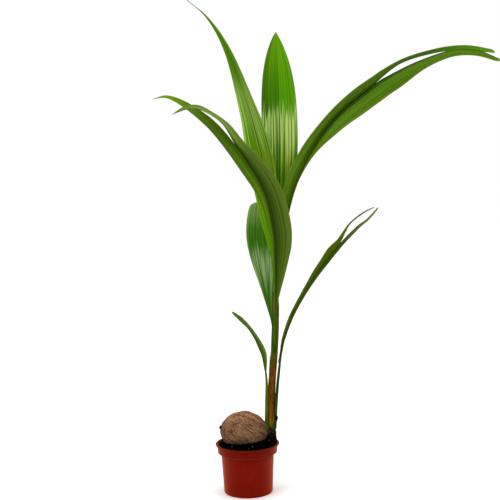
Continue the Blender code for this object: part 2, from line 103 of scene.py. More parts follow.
# Shoot: the stem's middle line and its radius by height
STEM_LINE = [(0.0745, 0.168), (0.0735, 0.255), (0.0780, 0.336), (0.0860, 0.426), (0.0900, 0.492), (0.0940, 0.600)]
STEM_RADII = [(0.0088, 0.168), (0.0086, 0.380), (0.0100, 0.450), (0.0100, 0.500), (0.0088, 0.600)]
STEM_SIDES = 64
STEM_ROWS = 260
SHEATH_CLEARANCE = 0.0005
SHEATH_WALL = 0.0015
SHEATH_FOOT_Z = 0.194
SHEATH_TOP_Z = 0.418
SHEATH_SLOPE = 0.012
SHEATH_ROWS = 150
SHEATH_SIDES = 96
SHEATH_STRANDS = 150
SHEATH_STRAND_RADIUS = 0.00020
SHEATH_THICK = 0.0010
MARGIN_THICK = 0.0008
MARGIN_TOP_Z = 0.568
MARGIN_HALF_ANGLE = radians(24)
MARGIN_ROWS = 90
COLLAR_RADIUS = 0.0165
COLLAR_FOOT_Z = 0.138
COLLAR_TOP_Z = 0.186
COLLAR_CENTRE_X = 0.0715
CROWN_STRANDS = 130
CROWN_STRAND_RADIUS = 0.00032
KNOB_RADIUS = 0.0042
KNOB_SHAPE = Matrix.Diagonal((1.0, 0.9, 2.1, 1))
KNOB_PLACE = (0.0880, -0.0100, 0.2235)
STALK_RADIUS = 0.0036
STALK_CIRCLE = 0.0048
STALK_RISE = 0.030
BLADE_FOOT_Z = 0.688

# Leaves
BLADE_THICK = 0.0008
ROWS_PER_METRE = 300
COLUMNS_PER_PLEAT = 8
LINE_STEPS = 16
ROUND_FROM = 0.985
FRONT = (0, -1, 0)

# Studio: the reference view, whose lens is given in photo pixels
FLOOR_HALF = 60
PHOTO_SIDE = 500
FOCAL_PIXELS = 1098
SENSOR_WIDTH = 36.0
CAMERA_PLACE = (0.0218, -3.2, 1.055)
CAMERA_PITCH = 90 - 5.882
CAMERA_TURN = -1.4
PLANT_MIDDLE = Vector((0.05, 0, 0.7))


# Materials

def tint(colour):
    """A colour given as the screen shows it, from 0 to 255, as the shader wants it."""
    if isinstance(colour, Wire):
        return colour
    return tuple((part / 255) ** 2.2 for part in colour) + (1.0,)


class Wire:
    """A number on its way through a finish. Sums on it add Math nodes."""

    def __init__(self, finish, socket):
        self.finish = finish
        self.socket = socket

    def sum(self, operation, first, second=0.0):
        return self.finish.node("ShaderNodeMath", {0: first, 1: second}, operation=operation)

    def __add__(self, other):
        return self.sum("ADD", self, other)

    def __sub__(self, other):
        return self.sum("SUBTRACT", self, other)

    def __rsub__(self, other):
        return self.sum("SUBTRACT", other, self)

    def __mul__(self, other):
        return self.sum("MULTIPLY", self, other)

    def __abs__(self):
        return self.sum("ABSOLUTE", self)

    def wave(self):
        """From 0 to 1 and back, once for each whole number."""
        return self.sum("COSINE", self * (2 * pi)) * -0.5 + 0.5

    __radd__ = __add__
    __rmul__ = __mul__


class Finish:
    """One material, built on its Principled shader."""

    def __init__(self, name, **uniform):
        self.material = bpy.data.materials.new(name)
        self.material.use_nodes = True
        self.tree = self.material.node_tree
        self.shader = self.tree.nodes["Principled BSDF"]
        for socket, value in uniform.items():
            self.shader.inputs[socket.replace("_", " ")].default_value = value

    def node(self, kind, values=(), output=0, stops=(), **settings):
        """Add a node: its settings first, then the values or links of its sockets."""
        made = self.tree.nodes.new(kind)
        for setting, value in settings.items():
            setattr(made, setting, value)
        if stops:
            ramp = made.color_ramp
            while len(ramp.elements) < len(stops):
                ramp.elements.new(0.5)
            for element, (place, colour) in zip(ramp.elements, stops):
                element.position, element.color = place, tint(colour)
        for socket, value in dict(values).items():
            if isinstance(value, Wire):
                self.tree.links.new(value.socket, made.inputs[socket])
            else:
                made.inputs[socket].default_value = value
        return Wire(self, made.outputs[output])

    def place(self):
        return self.node("ShaderNodeTexCoord", output="Object")

    def split(self, vector):
        parts = self.node("ShaderNodeSeparateXYZ", {0: vector}).socket.node
        return [Wire(self, output) for output in parts.outputs]

    def join(self, x, y, z=0.0):
        return self.node("ShaderNodeCombineXYZ", {0: x, 1: y, 2: z})

    def stretch(self, vector, scale):
        return self.node("ShaderNodeMapping", {"Vector": vector, "Scale": scale})

    def grain(self, vector, scale, detail=3.0, roughness=0.55, swirl=0.0):
        """Soft noise, near 0 to 1."""
        return self.node("ShaderNodeTexNoise", {"Vector": vector, "Scale": scale, "Detail": detail,
                                                "Roughness": roughness, "Distortion": swirl})

    def step(self, value, low, high):
        """0 below low and 1 above high, with a smooth change between. Low may be the larger."""
        return self.node("ShaderNodeMapRange", {"Value": value, "From Min": low, "From Max": high},
                         interpolation_type="SMOOTHSTEP")

    def mix(self, first, second, share):
        return self.node("ShaderNodeMix", {0: share, 6: tint(first), 7: tint(second)}, output=2, data_type="RGBA")

    def coats(self, colour, *layers):
        """Lay coats over a colour: each has its own colour, a value, where it starts and is full, and a share."""
        for paint, value, low, high, share in layers:
            colour = self.mix(colour, paint, self.step(value, low, high) * share)
        return colour

    def shade(self, colour, amount):
        """Darken or lighten a colour by a number."""
        return self.node("ShaderNodeVectorMath", {0: colour, 3: amount}, operation="SCALE")

    def ramp(self, value, *stops):
        return self.node("ShaderNodeValToRGB", {0: value}, stops=stops)

    def finish(self, colour, roughness, height=None, strength=0.5, depth=0.0005):
        """Join the ends to the shader. A height gives the skin its relief."""
        ends = {"Base Color": colour, "Roughness": roughness}
        if height:
            ends["Normal"] = self.node("ShaderNodeBump", {"Height": height, "Strength": strength, "Distance": depth})
        for socket, wire in ends.items():
            self.tree.links.new(wire.socket, self.shader.inputs[socket])
        return self.material


@dataclass(frozen=True)
class Look:
    """Colours of a leaf: its halves, foot and tip, a painted pale sheen (a painted reflection), streaks, painted
    shade in the pleat valleys and along the fold, and margins.

    A span gives the shares along the leaf where a change starts and ends, a share of two numbers
    is how strong it is on the left and on the right half.
    """

    left: tuple
    right: tuple
    tip: tuple
    foot: tuple
    tip_right: tuple = ()
    tip_span: tuple = (0.75, 0.97)
    tip_early: float = 0.0
    foot_span: tuple = (0.18, 0.0)
    # A painted sheen: a pale colour laid in as a painted reflection, its span, its shares and where its stripes
    # start.
    painted_sheen: tuple = (176, 196, 140)
    painted_sheen_span: tuple = (0.3, 0.5, 0.6, 0.64)
    painted_sheen_share: tuple = (0.0, 0.0)
    painted_sheen_cut: float = 0.42
    streak: tuple = (120, 165, 20)
    streak_span: tuple = (0.0, 0.2, 0.6, 0.9)
    streak_share: tuple = (0.0, 0.0)
    # Painted shade in the pleat valleys, and more of it towards the foot.
    line: float = 0.25
    line_low: float = 0.0
    # Painted shade along the fold: its shares, and how far from the fold it reaches.
    fold: tuple = (0.0, 0.0)
    fold_shade_reach: float = 0.13
    outer: tuple = (104, 112, 62)
    outer_share: tuple = (0.0, 0.0)
    edge: tuple = (110, 120, 40)
    edge_right: tuple = ()
    edge_share: float = 0.4
    end: tuple = (130, 110, 50)


def leaf_finish(name, look, pleats, seed):
    """A pleated leaf: streaks along it, painted shade in its uneven pleat valleys, a painted pale sheen, painted
    shade along the fold, and its margins.
    """
    leaf = Finish(name, Specular_IOR_Level=0.05)
    u, v, _ = leaf.split(leaf.node("ShaderNodeUVMap", uv_map="along"))
    side = u * 2.0 - 1.0
    away = abs(side)
    on_right = leaf.step(side, -0.02, 0.02)

    def by_side(left, right):
        return on_right * (right - left) + left

    def grain(across, along, offset, detail=2.0):
        return leaf.grain(leaf.join(side * across, v * along, seed + offset), 1.0, detail)

    drift = grain(2.6, 3.2, 0.0) - 0.5
    veins = leaf.grain(leaf.join(side * 8.0, v * 1.0, seed + 3.0), 1.0, 2.0, 0.5)
    thread = leaf.step(grain(11.0, 0.6, 5.0, 1.0), 0.36, 0.64)
    broad = grain(5.0, 1.6, 7.0)
    uneven = grain(3.1, 1.1, 11.0, 1.0) - 0.5
    pleat = (away * pleats + uneven * 0.9).wave()
    colour = leaf.mix(look.left, look.right, on_right)
    colour = leaf.mix(colour, look.foot, leaf.step(v + drift * 0.08, *look.foot_span))
    tip = leaf.mix(look.tip, look.tip_right or look.tip, on_right)
    colour = leaf.mix(colour, tip, leaf.step(v + drift * 0.10 + on_right * look.tip_early, *look.tip_span))
    begin, full, fade, gone = look.streak_span
    run = v + drift * 0.30 + (veins - 0.5) * 0.25
    strip = leaf.step(run, begin, full) * leaf.step(run, gone, fade)
    strip *= leaf.step(broad * 0.6 + veins * 0.6, 0.48, 0.72)
    colour = leaf.mix(colour, look.streak, strip * by_side(*look.streak_share))
    outer_share = by_side(*look.outer_share)
    colour = leaf.coats(colour, (look.outer, away + drift * 0.25, 0.35, 0.85, outer_share))
    begin, full, fade, gone = look.painted_sheen_span
    # Painted shade: the pleat valleys are darkened, more towards the foot.
    low = leaf.step(v, gone, full)
    lines = (low * look.line_low + look.line) * leaf.step(pleat + (veins - 0.5) * 0.8, 0.62, 0.10)
    colour = leaf.shade(colour, 1.0 - lines + (veins - 0.5) * 0.45 + (broad - 0.5) * 0.35 + (thread - 0.5) * 0.20)
    # Painted sheen: pale ragged streaks laid into the colour as a painted reflection.
    run = v + (broad - 0.5) * 0.12 + (veins - 0.5) * 0.26
    ragged = v + (veins - 0.5) * 0.55 + drift * 0.2
    painted_sheen_band = leaf.step(ragged, begin, full) * leaf.step(run, gone, fade)
    painted_sheen_stripes = leaf.step(pleat * 0.20 + veins * 0.7 + broad * 0.6 + thread * 0.12,
                       look.painted_sheen_cut, look.painted_sheen_cut + 0.60)
    painted_sheen = painted_sheen_band * painted_sheen_stripes * by_side(*look.painted_sheen_share)
    colour = leaf.mix(colour, look.painted_sheen, painted_sheen)
    # Painted shade along the fold.
    painted_fold_shade = leaf.step(away + drift * 0.12, look.fold_shade_reach, 0.0) * by_side(*look.fold)
    colour = leaf.shade(colour, 1.0 - painted_fold_shade)
    edge = leaf.mix(look.edge, look.edge_right or look.edge, on_right)
    colour = leaf.coats(colour, (edge, away + drift * 0.06, 0.90, 0.99, look.edge_share))
    colour = leaf.mix(colour, look.end, leaf.step(v + drift * 0.02, 0.975, 0.995))
    rough = 0.40 + (veins - 0.5) * 0.22 - painted_sheen * 0.10
    return leaf.finish(colour, rough, veins * 0.8, strength=0.25, depth=0.0006)


def pot_plastic():
    """Satin moulded plastic, dark red-brown, with faint flow marks, scuffs, dust near the foot, painted shade below
    the band, and painted shade on the band and the lip.
    """
    plastic = Finish("satin_pot_plastic", Specular_IOR_Level=0.03, Sheen_Weight=0.45, Sheen_Roughness=0.45,
                     Sheen_Tint=tint((255, 120, 10)))
    place = plastic.place()
    z = plastic.split(place)[2]
    cloud = plastic.grain(place, 22.0, 4.0)
    scuff = plastic.grain(plastic.stretch(place, (1.0, 1.0, 0.15)), 260.0, 3.0)
    dust = plastic.step(z + cloud * 0.02, 0.026, 0.004) * plastic.grain(place, 120.0)
    # Painted shade on the wall just below the band's overhang.
    painted_shade_below_band = plastic.step(z, 0.1245, 0.1215) * plastic.step(z, 0.100, 0.121)
    colour = plastic.mix((104, 6, 0), (122, 20, 0), cloud)
    colour = plastic.coats(colour, ((160, 58, 18), scuff, 0.60, 0.80, 0.22))
    colour = plastic.mix(colour, (122, 52, 34), dust * 0.5)
    # Painted shade that darkens the band, and the lip's top more.
    painted_shade_band_and_lip = plastic.step(z, 0.121, 0.126) * 0.22 + plastic.step(z, 0.1440, 0.1470) * 0.22
    colour = plastic.shade(colour, 1.0 - painted_shade_below_band * 0.22 - painted_shade_band_and_lip)
    rough = 0.36 + cloud * 0.10 + plastic.step(scuff, 0.55, 0.8) * 0.15
    height = plastic.grain(place, 700.0, 2.0) * 0.4 + scuff * 0.4
    return plastic.finish(colour, rough, height, strength=0.12, depth=0.0004)


def compost_earth():
    earth = Finish("dark_compost", Specular_IOR_Level=0.01)
    place = earth.place()
    lumps = earth.grain(place, 180.0, 6.0, 0.7)
    bits = earth.node("ShaderNodeTexVoronoi", {"Vector": place, "Scale": 330.0})
    colour = earth.ramp(lumps, (0.40, (2, 2, 2)), (0.62, (6, 4, 3)), (0.84, (36, 24, 15)))
    return earth.finish(colour, 0.85 + lumps * 0.15, lumps + bits * 0.6, strength=0.9, depth=0.0016)


def perlite():
    speck = Finish("perlite_speck")
    grit = speck.grain(speck.place(), 900.0, 3.0)
    return speck.finish(speck.mix((80, 76, 70), (132, 128, 120), grit), 0.8 + grit * 0.1, grit)


def husk_fibre(name, pale, dark, shadow=0.0):
    """Dry coir: matted fibres that run along the nut, paler on the ridges, with painted shade in the cracks and a
    painted light on the top.
    """
    coir = Finish(name, Specular_IOR_Level=0.08)
    place = coir.place()
    x, y, z = coir.split(place)
    along, across = x * 0.82 - z * 0.57, x * 0.57 + z * 0.82
    swirl = coir.grain(coir.join(along * 0.24, y, across), 85.0, 4.0, 0.62, 0.8)
    fine = coir.grain(coir.join(along * 0.11, y, across), 330.0, 3.0, 0.62, 0.35)
    patch = coir.grain(place, 26.0, 3.0, 0.6, 0.5)
    colour = coir.mix(dark, pale, coir.step(swirl * 0.42 + fine * 0.70 + patch * 0.10, 0.42, 0.82))
    colour = coir.coats(
        colour,
        ((160, 96, 74), patch, 0.56, 0.72, 0.16),
        ((48, 28, 18), swirl, 0.42, 0.30, 0.35),
        ((84, 48, 24), z + patch * 0.02, 0.186, 0.150, 0.55),
    )
    # Both ends are darker, and the top is lightened as painted light.
    ends = coir.step(abs(x + 0.012), 0.040, 0.068)
    crown = coir.step(z + patch * 0.01, 0.208, 0.238)
    colour = coir.shade(colour, 1.0 - ends * 0.35 + crown * 0.45)
    # Painted shade in the cracks, read from the crack depth kept on each point.
    if shadow:
        hollow = coir.node("ShaderNodeAttribute", output=2, attribute_name="hollow")
        colour = coir.coats(colour, ((26, 14, 8), hollow, 0.05, 0.60, shadow))
    return coir.finish(colour, 0.78 + fine * 0.2, fine * 0.6 + swirl, strength=0.95, depth=0.0016)


def dark_fibre():
    crown = Finish("dark_crown_fibre", Specular_IOR_Level=0.06)
    place = crown.place()
    strand = crown.grain(crown.stretch(place, (1.0, 1.0, 0.25)), 500.0, 4.0, 0.7)
    cloud = crown.grain(place, 90.0, 3.0)
    colour = crown.ramp(strand * 0.6 + cloud * 0.4, (0.36, (6, 3, 2)), (0.58, (24, 12, 6)), (0.80, (84, 48, 26)))
    return crown.finish(colour, 0.8 + cloud * 0.15, strand + cloud, strength=0.9, depth=0.0012)


def dry_sheath(name, low_green):
    """The old leaf sheath: red-brown fibre with olive and yellow streaks, greener where it still lives."""
    bark = Finish(name, Specular_IOR_Level=0.04)
    x, y, z = bark.split(bark.place())
    strand = bark.grain(bark.join(x, y, z * 0.06), 850.0, 4.0, 0.65, 0.4)
    streak = bark.grain(bark.join(x, y, z * 0.14), 240.0, 3.0, 0.6, 0.3)
    patch = bark.grain(bark.join(x, y, z * 0.5), 55.0, 3.0)
    slant = z - (x - 0.0845) * 3.5 + patch * 0.02 + streak * 0.01
    colour = bark.coats(
        bark.mix((80, 30, 4), (150, 84, 34), bark.step(strand, 0.36, 0.70)),
        ((92, 84, 2), streak + patch * 0.4, 0.62, 0.82, 0.55),
        ((98, 34, 10), patch, 0.48, 0.36, 0.45),
        ((30, 12, 4), streak, 0.40, 0.30, 0.85),
        ((44, 74, 6), z + patch * 0.03, 0.228, 0.214, low_green),
        ((150, 130, 20), abs(streak - 0.58), 0.04, 0.01, bark.step(z, 0.240, 0.222) * (low_green * 0.8)),
        ((48, 84, 2), slant, 0.399, 0.407, low_green),
    )
    return bark.finish(colour, 0.66 + strand * 0.25, strand + streak * 0.8, strength=0.8, depth=0.0008)


def stem_green():
    """The live sheaths of the stem: green with fine ribs, a yellow edge and a browning right side."""
    stem = Finish("green_stem", Specular_IOR_Level=0.05)
    u = stem.split(stem.node("ShaderNodeUVMap", uv_map="along"))[0]
    x, y, z = stem.split(stem.place())
    rib = stem.grain(stem.join(x, y, z * 0.03), 900.0, 3.0)
    cloud = stem.grain(stem.join(x, y, z * 0.3), 70.0, 3.0)
    brown = stem.step(z + cloud * 0.05, 0.60, 0.52) * 0.85
    spot = stem.step(z, 0.535, 0.555) * stem.step(z, 0.600, 0.580) * 0.8
    colour = stem.coats(
        stem.mix((20, 48, 0), (58, 92, 0), stem.step(rib * 0.6 + cloud * 0.5, 0.34, 0.80)),
        ((92, 104, 4), abs(u + (z - 0.5) * 0.12 - 0.71), 0.060, 0.02, stem.step(z, 0.40, 0.50) * 0.5),
        ((122, 62, 14), u, 0.83, 0.91, brown),
        ((150, 82, 8), abs(u - 0.70), 0.07, 0.03, spot),
    )
    return stem.finish(colour, 0.44 + rib * 0.2, rib)


def stalk_green(name, pale, dark):
    stalk = Finish(name, Specular_IOR_Level=0.05)
    x, y, z = stalk.split(stalk.place())
    rib = stalk.grain(stalk.join(x, y, z * 0.04), 1000.0, 3.0)
    cloud = stalk.grain(stalk.join(x, y, z * 0.4), 55.0, 3.0)
    colour = stalk.coats(
        stalk.mix(dark, pale, stalk.step(rib * 0.5 + cloud * 0.6, 0.35, 0.80)),
        ((92, 78, 12), cloud, 0.62, 0.78, 0.5),
    )
    return stalk.finish(colour, 0.44 + rib * 0.15, rib, strength=0.4, depth=0.0004)


# Shapes

def polar(radius, angle, z=0.0):
    return Vector((radius * cos(angle), radius * sin(angle), z))


def between(table, z):
    """Read a value off a table of (value, height) pairs, in straight steps."""
    if z <= table[0][1]:
        return table[0][0]
    for (low, z_low), (high, z_high) in zip(table, table[1:]):
        if z <= z_high:
            return low + (high - low) * (z - z_low) / (z_high - z_low)
    return table[-1][0]


def blend(values, share):
    """Read evenly spaced values, from the start to the end, as one smooth run."""
    place = share * (len(values) - 1)
    step = min(int(place), len(values) - 2)
    part = place - step
    start, end = values[step], values[step + 1]
    before = values[step - 1] if step else start * 2 - end
    after = values[step + 2] if step + 2 < len(values) else end * 2 - start
    pull = (end - before) * (part**3 - 2 * part**2 + part) + (after - start) * (part**3 - part**2)
    rise = 3 * part**2 - 2 * part**3
    return start * (1 - rise) + end * rise + pull * 0.5


def hermite(points, tangents, step, part):
    """A point and its direction on the smooth curve from points[step] to the next."""
    start, end = points[step], points[step + 1]
    lead, trail = tangents[step], tangents[step + 1]
    p2, p3 = part * part, part**3
    place = start * (2 * p3 - 3 * p2 + 1) + lead * (p3 - 2 * p2 + part) + end * (3 * p2 - 2 * p3) + trail * (p3 - p2)
    way = (start * (6 * p2 - 6 * part) + lead * (3 * p2 - 4 * part + 1)
           + end * (6 * part - 6 * p2) + trail * (3 * p2 - 2 * part))
    return place, way.normalized()


def smooth_line(points, rows, lead=None, trail=None):
    """Even rows of (point, direction, length so far) along a smooth curve."""
    points = [Vector(point) for point in points]
    tangents = [(after - before) / 2 for before, after in zip(points, points[2:])]
    tangents = [lead or points[1] - points[0], *tangents, trail or points[-1] - points[-2]]
    fine = [hermite(points, tangents, step, part / LINE_STEPS)
            for step in range(len(points) - 1) for part in range(LINE_STEPS)]
    fine.append(hermite(points, tangents, len(points) - 2, 1.0))
    lengths = [0.0]
    for (start, _), (end, _) in zip(fine, fine[1:]):
        lengths.append(lengths[-1] + (end - start).length)
    line = []
    index = 0
    for row in range(rows + 1):
        wanted = lengths[-1] * row / rows
        while index < len(fine) - 2 and lengths[index + 1] < wanted:
            index += 1
        (start, way), (end, next_way) = fine[index:index + 2]
        part = min(1.0, (wanted - lengths[index]) / (lengths[index + 1] - lengths[index]))
        line.append((start.lerp(end, part), way.lerp(next_way, part).normalized(), wanted))
    return line


def add_grid(shape, grid, u_span=(0.0, 1.0), v_rows=None):
    """Lay a sheet of points into a shape, with U across it and V along it."""
    layer = shape.loops.layers.uv.get("along") or shape.loops.layers.uv.new("along")
    rows, columns = len(grid) - 1, len(grid[0]) - 1
    made = bmesh.ops.create_grid(shape, x_segments=columns, y_segments=rows, size=0.5)["verts"]
    for vert in made:
        column = round((vert.co.x + 0.5) * columns)
        row = round((vert.co.y + 0.5) * rows)
        across = u_span[0] + (u_span[1] - u_span[0]) * column / columns
        along = v_rows[row] if v_rows else row / rows
        vert.co = grid[row][column]
        for loop in vert.link_loops:
            loop[layer].uv = (across, along)
    return shape


def face_out(shape, merge=0.0, cap=False):
    """Merge seams, close open ends and turn every face outwards."""
    if merge:
        bmesh.ops.remove_doubles(shape, verts=shape.verts, dist=merge)
    if cap:
        bmesh.ops.holes_fill(shape, edges=[edge for edge in shape.edges if edge.is_boundary], sides=0)
    bmesh.ops.recalc_face_normals(shape, faces=shape.faces)
    return shape


def add_object(name, data):
    made = bpy.data.objects.new(name, data)
    bpy.context.scene.collection.objects.link(made)
    return made


def mesh_of(name, shape):
    mesh = bpy.data.meshes.new(name)
    shape.to_mesh(mesh)
    shape.free()
    return mesh


def add_piece(name, shape, finish, slot, *nodes, smooth_angle=50):
    """Make a finished piece that rides on the one body and stands for these solids."""
    mesh = mesh_of(name, shape)
    mesh.materials.append(finish)
    mesh.shade_smooth()
    mesh.set_sharp_from_angle(angle=radians(smooth_angle))
    made = add_object(name, mesh)
    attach(made, "root")
    if nodes:
        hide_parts(*nodes)
    return made


def thicken(made, thickness):
    wall = made.modifiers.new("wall", "SOLIDIFY")
    wall.thickness = thickness
    wall.offset = 0
    wall.use_even_offset = True


def tube(rows, sides, radius_at):
    """A closed tube round rows of (place, way, along). radius_at takes the angle and the share along."""
    grid = []
    total = rows[-1][2] - rows[0][2]
    for place, way, along in rows:
        across = way.cross(Vector((0, -1, 0))).normalized()
        back = way.cross(across).normalized()
        ring = []
        for side in range(sides + 1):
            angle = 2 * pi * (side % sides) / sides
            radius = radius_at(angle, (along - rows[0][2]) / total)
            ring.append(place + (across * cos(angle) + back * sin(angle)) * radius)
        grid.append(ring)
    return face_out(add_grid(bmesh.new(), grid), SEAM, cap=True)


def strands(name, lines, radius, finish, slot):
    """Many thin tapering fibres as one piece."""
    curve = bpy.data.curves.new(name, "CURVE")
    curve.dimensions = "3D"
    curve.bevel_depth = radius
    curve.bevel_resolution = 0
    curve.use_fill_caps = True
    for line in lines:
        spline = curve.splines.new("POLY")
        spline.points.add(len(line) - 1)
        for index, (point, place) in enumerate(zip(spline.points, line)):
            point.co = (*place, 1.0)
            point.radius = 1.0 - 0.75 * abs(2 * index / (len(line) - 1) - 1) ** 3
    holder = add_object(name + "_line", curve)
    shape = bmesh.new()
    shape.from_mesh(holder.to_mesh())
    holder.to_mesh_clear()
    bpy.data.objects.remove(holder)
    add_piece(name, face_out(shape), finish, slot)


# Pot and what it holds

def turned(profile, sides):
    """Spin a closed (radius, height) outline about Z into one closed body."""
    shape = bmesh.new()
    corners = [shape.verts.new((radius, 0, z)) for radius, z in profile]
    edges = [shape.edges.new(pair) for pair in zip(corners, corners[1:])]
    bmesh.ops.spin(shape, geom=corners + edges, axis=(0, 0, 1), cent=(0, 0, 0),
                   angle=2 * pi, steps=sides, use_merge=True)
    return face_out(shape, POLE, cap=True)


def rounded(centre_radius, centre_z, radius, start, end, steps=5):
    """Points on an arc of the outline, angles in degrees from +radius."""
    angles = [radians(start + (end - start) * step / steps) for step in range(steps + 1)]
    return [(centre_radius + radius * cos(angle), centre_z + radius * sin(angle)) for angle in angles]


def add_pot(finish):
    """The moulded pot: rounded foot, tapered wall, stepped band and a rolled lip."""
    band_foot = POT_HEIGHT - BAND_HEIGHT
    wall_top = band_foot - SHOULDER_HEIGHT
    lip_foot = POT_HEIGHT - LIP_DEPTH
    lip, edge = LIP_DEPTH / 2, POT_WALL / 2
    pot = add_piece("pot_moulded", turned([
        (0, FOOT_HOLLOW), (FOOT_RADIUS - 0.012, FOOT_HOLLOW), (FOOT_RADIUS - 0.010, 0),
        *rounded(FOOT_RADIUS - 0.004, 0.004, 0.004, -90, 0),
        (WALL_TOP_RADIUS - 0.0005, wall_top - 0.003), (WALL_TOP_RADIUS + 0.0006, wall_top),
        (BAND_FOOT_RADIUS - 0.0030, band_foot - 0.0022), (BAND_FOOT_RADIUS - 0.0012, band_foot - 0.0016),
        *rounded(BAND_FOOT_RADIUS - 0.0012, band_foot - 0.0004, 0.0012, -90, 0),
        (BAND_TOP_RADIUS - 0.0004, lip_foot - 0.0015), (BAND_TOP_RADIUS, lip_foot),
        *rounded(LIP_RADIUS - lip, POT_HEIGHT - lip, lip, -90, 90, 8),
        *rounded(BAND_TOP_RADIUS - edge, POT_HEIGHT - edge, edge, 90, 180, 3),
        (BAND_FOOT_RADIUS - POT_WALL, band_foot + edge), (WALL_TOP_RADIUS - POT_WALL, wall_top + POT_WALL),
        (FOOT_RADIUS - POT_WALL, POT_FLOOR), (0, POT_FLOOR),
    ], POT_SIDES), finish, "pot_plastic", "pot", smooth_angle=35)
    drills = bmesh.new()
    for hole in range(DRAIN_HOLES):
        bmesh.ops.create_cone(drills, cap_ends=True, radius1=DRAIN_RADIUS, radius2=DRAIN_RADIUS,
                              depth=POT_FLOOR * 4, segments=24,
                              matrix=Matrix.Translation(polar(DRAIN_CIRCLE, 2 * pi * hole / DRAIN_HOLES)))
    drill = add_object("drain_drills", mesh_of("drain_drills", drills))
    cut = pot.modifiers.new("drain_holes", "BOOLEAN")
    cut.operation = "DIFFERENCE"
    cut.solver = "EXACT"
    cut.object = drill
    bpy.context.view_layer.update()
    cut_mesh = bpy.data.meshes.new_from_object(pot.evaluated_get(bpy.context.evaluated_depsgraph_get()))
    pot.modifiers.remove(cut)
    pot.data = cut_mesh
    bpy.data.objects.remove(drill)


def heap(radius, angle):
    """Height of the compost at a place in the pot."""
    inward = 1 - radius / (BAND_FOOT_RADIUS - POT_WALL + 0.0005)
    z = SOIL_RIM_Z + SOIL_HEAP * sin(min(1.0, inward * 2) * pi / 2)
    place = polar(radius, angle, 0.3)
    z += 0.0045 * noise.noise(place * 38) + 0.0022 * noise.noise(place * 110)
    away = (place - Vector((COLLAR_CENTRE_X + 0.004, -0.004, place.z))).length
    return z + 0.016 * max(0.0, 1 - away / 0.026) ** 1.3


def add_compost(finish, speck_finish):
    """Crumbly compost heaped round the nut, with loose crumbs and a few pale specks."""
    edge = BAND_FOOT_RADIUS - POT_WALL - 0.0003
    band_foot = POT_HEIGHT - BAND_HEIGHT
    turns = [2 * pi * (side % SOIL_SIDES) / SOIL_SIDES for side in range(SOIL_SIDES + 1)]
    grid = [[polar(radius, turn, z) for turn in turns] for radius, z in (
        (FOOT_RADIUS - POT_WALL - 0.0006, POT_FLOOR + 0.0003),
        (WALL_TOP_RADIUS - POT_WALL - 0.0006, band_foot - SHOULDER_HEIGHT + POT_WALL),
        (edge, band_foot + POT_WALL),
    )]
    for ring in range(SOIL_RINGS + 1):
        radius = max(0.0002, edge * (1 - ring / SOIL_RINGS))
        grid.append([polar(radius, turn, heap(radius, turn)) for turn in turns])
    bed = face_out(add_grid(bmesh.new(), grid), SEAM, cap=True)
    add_piece("compost_bed", bed, finish, "compost", "compost", smooth_angle=70)
    draw = random.Random(11)
    for name, count, sizes, stuff in (("compost_crumbs", CRUMBS, CRUMB_SIZES, finish),
                                      ("perlite_specks", SPECKS, SPECK_SIZES, speck_finish)):
        shape = bmesh.new()
        for crumb in range(count):
            angle = draw.uniform(0, 2 * pi)
            radius = (edge - 0.002) * draw.uniform(0.25, 1.0) ** 0.6
            if name == "perlite_specks" and crumb == 0:
                angle, radius = radians(-87), edge - 0.010
            size = draw.uniform(*sizes)
            place = Matrix.Translation(polar(radius, angle, heap(radius, angle) + size * 0.35))
            turn = Matrix.Rotation(draw.uniform(0, pi), 4, draw.choice("XYZ"))
            squash = Matrix.Diagonal((draw.uniform(0.7, 1.3), draw.uniform(0.7, 1.3), draw.uniform(0.6, 1.0), 1))
            bmesh.ops.create_icosphere(shape, subdivisions=1, radius=size, matrix=place @ turn @ squash)
        add_piece(name, shape, stuff, "compost", smooth_angle=20)


def husk_point(along, around, lift=0.0):
    """A point on the husk: along from -1 at the blunt end to 1 at the shoot, around in radians from the top."""
    ring = (1 - along * along) ** 0.5
    unit = Vector((along, ring * sin(around), ring * cos(around)))
    ridge = 1 + NUT_RIDGE * (1 - along**2) * cos(3 * around)
    narrow = ridge * (1 - NUT_NARROWING * max(0.0, along) ** NUT_SHOULDER)
    rough = 0.0015 * noise.noise(unit * 3.1)
    grown = [half + rough + lift for half in NUT_HALF]
    return NUT_CENTRE + Vector((unit.x * grown[0], unit.y * narrow * grown[1], unit.z * narrow * grown[2]))


def crack_depth(unit, start, end, width):
    """How near a direction is to a crack that runs between two directions, from 0 to 1."""
    start, end = Vector(start).normalized(), Vector(end).normalized()
    part = max(0.0, min(1.0, (unit - start).dot(end - start) / (end - start).length_squared))
    middle = start.lerp(end, part).normalized()
    wander = 0.030 * noise.noise(unit * 6 + start * 5)
    near = 1 - abs((unit - middle).length + wander * sin(part * pi)) / width
    return max(0.0, near) ** 0.7 * (0.35 + 0.65 * sin(part * pi))


def husk_relief(unit):
    """Height of the matted fibre over the smooth nut, and how deep in a crack it is, from 0 to 1, which the finish
    paints as shade.
    """
    sweep = Vector((0, 1.1, -0.9)) * noise.noise(unit * 1.9)
    bundle = Vector((unit.x * 3.2, unit.y * 9.0, unit.z * 9.0)) + sweep * 2.5
    lift = 0.0016 * (0.35 - abs(noise.noise(bundle))) + 0.0008 * noise.noise(bundle * 2.6)
    lift += 0.0014 * noise.noise(Vector((unit.x * 2.0, unit.y * 3.4, unit.z * 3.4)) + sweep)
    hollow = 0.0
    for start, end, width, depth in HUSK_CRACKS:
        near = crack_depth(unit, start, end, width)
        lift -= depth * near
        hollow = max(hollow, near)
    return lift, hollow


